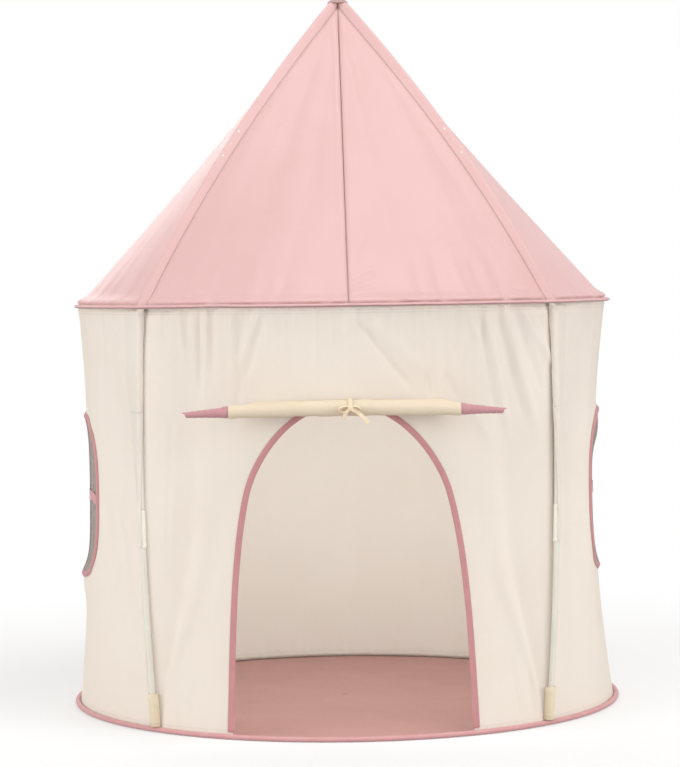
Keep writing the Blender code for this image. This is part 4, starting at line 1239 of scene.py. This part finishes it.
def roll_layers(turns_out, across):
    """Radius of the winding: even steps from the core out to the roll's tapered outside."""
    fullness = 1 - np.clip(np.abs(across) / ROLL_HALF_WIDTH, 0, 1) ** 1.6
    outer = ROLL_END_RADIUS + (ROLL_RADIUS - ROLL_END_RADIUS) * fullness
    return ROLL_CORE + (outer - ROLL_CORE) * turns_out / ROLL_TURNS


def half_width(turns_out):
    """Half the strip's width: 70 mm more at the core than from the sixth turn on."""
    return ROLL_HALF_WIDTH + 0.070 * np.clip((6.3 - turns_out) / 6.3, 0, 1) ** 1.05


def roll_place(turns_out, across, lift=0.0):
    """The point on the winding: it sags at the ends, with lumps where the cloth bunches."""
    turn = 2 * np.pi * turns_out + 2.2
    lumps = 1 + 0.05 * ripple(across + 0.004 * np.cos(turn), 0.060, 71) * (turns_out / ROLL_TURNS)
    radius = (roll_layers(turns_out, across) + lift) * lumps
    droop = 0.0065 * np.clip(np.abs(across) / 0.24, 0, 1.15) ** 2
    tall = ROLL_HEIGHT - droop - radius * np.cos(turn)
    return joined(across + ROLL_SHIFT, -ROLL_DEPTH + radius * np.sin(turn), tall)


roll_cloth = woven_cloth(
    "roll_cloth",
    (240, 227, 204),
    (231, 214, 188),
    thread=0.0007,
    roughness=0.8,
    sheen=0.2,
    through=0.12,
    blotch=18.0,
)
turns_out, share = grid(np.linspace(0, ROLL_TURNS, 260), np.linspace(-1, 1, 110))
across = share * (half_width(turns_out) - 0.002)
wound = 2 * np.pi * np.cumsum(roll_layers(turns_out, across), axis=0) * ROLL_TURNS / 260
winding = (roll_place(turns_out, across), joined(across, wound), roll_cloth, "ribbon_cloth", "door_roll")
door_roll = new_piece("door_roll_winding", *winding, body="roll", thickness=WOUND_THICKNESS, offset=0.0)

edge_cloth = woven_cloth(
    "edge_cloth",
    (212, 162, 166),
    (190, 136, 143),
    thread=0.0006,
    roughness=0.68,
    sheen=0.25,
    through=0.05,
    blotch=30.0,
)
turns_out = np.linspace(0, 7.2, 260)[:, None]
section = 2 * np.pi * np.arange(36)[None, :] / 36
flat = tube_flat(36, 0.02, np.linspace(0, 0.32, 260))
for side, sign in (("left", -1), ("right", 1)):
    across = sign * (half_width(turns_out) + 0.0018 + 0.0062 * np.cos(section))
    ribs = 0.00034 * np.cos(2 * np.pi * across / 0.0027) * np.abs(np.sin(section))
    points = roll_place(turns_out, across, 0.00075 * np.sin(section) + ribs)
    if sign < 0:
        points = points[:, ::-1]
    edging = (flat, edge_cloth, "pink_piping", "roll_end_" + side)
    new_piece("roll_end_" + side + "_edge", points, *edging, body="roll", wrap_columns=True, caps=True)

share, side_share = grid(np.linspace(0, 1, 40), np.linspace(-1, 1, 81))
tall = FLAP_TOP - FLAP_DEPTH * share
lowered = tall - CURTAIN_DROP * share**2 * (3 - 2 * share)
edge = door_line(110, 110)[:219]
door_half = np.interp(lowered[:, 0], edge[:, 1], edge[:, 0])
flap_half = np.minimum(0.085 + door_half, 0.190)[:, None]
across = side_share * np.minimum(flap_half, 0.130 + 0.068 * share**0.4)
on_wall = -np.sqrt((wall_radius(0.0, FLAP_TOP) + 0.0012) ** 2 - across**2)
depth = on_wall * (1 - share) - CURTAIN_FACE * share
points = joined(across, depth, tall)
mesh = cloth_mesh("door_curtain", points[::-1], joined(across, tall)[::-1])
mesh.materials.append(roll_cloth)
curtain = bpy.data.objects.new("door_curtain_flap", mesh)
bpy.context.scene.collection.objects.link(curtain)
body_of_cloth = curtain.modifiers.new("cloth", "SOLIDIFY")
body_of_cloth.thickness = FLAP_THICKNESS
bpy.context.view_layer.update()
curtain.data = bpy.data.meshes.new_from_object(curtain.evaluated_get(bpy.context.evaluated_depsgraph_get()))
curtain.modifiers.clear()
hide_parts("door_curtain")
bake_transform(curtain)


# A cream ribbon is sewn above the doorway, brought over the roll and tied in a bow in
# front of it, to hold it up.

REACH = 0.0157
KNOT_DEPTH = 0.5316
RIBBON_HALF_WIDTH = 0.0034
RIBBON_THICKNESS = 0.0008


def ribbon_points(line, wide, thickness, half):
    """A flat ribbon along a line: a thin rounded section, as wide as the wide direction."""
    slope = np.gradient(line, axis=0)
    slope = slope / np.linalg.norm(slope, axis=1, keepdims=True)
    wide = np.broadcast_to(np.array(wide, float), line.shape)
    wide = wide - slope * (wide * slope).sum(axis=1, keepdims=True)
    wide = wide / np.linalg.norm(wide, axis=1, keepdims=True)
    up = np.cross(wide, slope)
    turn = 2 * np.pi * np.arange(16)[None, :, None] / 16
    side = np.sign(np.cos(turn)) * np.abs(np.cos(turn)) ** 0.5
    rise = np.sin(turn) * thickness / 2
    half = np.broadcast_to(half, (len(line),))[:, None, None]
    points = line[:, None] + wide[:, None] * (side * half) + up[:, None] * rise
    return points, tube_flat(16, 0.016, run_length(line))


def tie_piece(name, points, flat, *nodes):
    look = (ribbon_cloth, "ribbon_cloth", *nodes)
    new_piece("door_tie_" + name, points, flat, *look, wrap_columns=True, caps=True)


ribbon_cloth = woven_cloth(
    "ribbon_cloth",
    (247, 233, 206),
    (238, 219, 186),
    thread=0.0005,
    roughness=0.7,
    sheen=0.25,
    through=0.1,
    blotch=40.0,
)
turn = np.radians(np.linspace(-30, 90, 40))
over = joined(0.0, -ROLL_DEPTH - REACH * np.sin(turn), ROLL_HEIGHT + REACH * np.cos(turn))
sewn = np.linspace((0, -CURTAIN_FACE - 0.0015, FLAP_TOP + 0.0015), over[0], 8)[:-1]
tie_piece("strand", *ribbon_points(np.concatenate((sewn, over)), (1, 0, 0), 0.0009, 0.0035), "door_tie")

knot = np.array((0, -KNOT_DEPTH, ROLL_HEIGHT))
turn = np.linspace(0.25, 2 * np.pi - 0.25, 60)
out = (1 - np.cos(turn)) / 2
loop_half = RIBBON_HALF_WIDTH - 0.0012 * np.cos(turn) ** 8
for side, sign, size, reach, fall in (("left", -1, 1.15, 0.013, 0.017), ("right", 1, 0.95, 0.0315, 0.027)):
    swing = joined(sign * 0.019 * size * out, 0.0016 * np.sin(turn * 2), 0.0048 * np.sin(turn) - 0.0022 * out)
    tie_piece("loop_" + side, *ribbon_points(knot + swing, (0, 1, 0.35), RIBBON_THICKNESS, loop_half))
    tail = np.array(((0, 0, 0), (0.35, -0.001, 0.15), (0.75, -0.0022, 0.6), (1, 0.0012, 1)))
    line = bezier(*(knot + tail * (sign * reach, 1, -fall)), 40)
    wide = (sign * 0.5, 0.15, 0.6)
    tie_piece("tail_" + side, *ribbon_points(line, wide, RIBBON_THICKNESS, RIBBON_HALF_WIDTH))

up, turn = grid(np.linspace(-1, 1, 14)[1:-1], 2 * np.pi * np.arange(28) / 28)
bulge = np.sqrt(1 - up**2) * (1 + 0.07 * np.cos(6 * turn))
points = knot + joined(0.0046 * bulge * np.cos(turn), 0.0036 * bulge * np.sin(turn), 0.0048 * up)
tie_piece("knot", points, tube_flat(28, 0.028, up[:, 0] * 0.005))
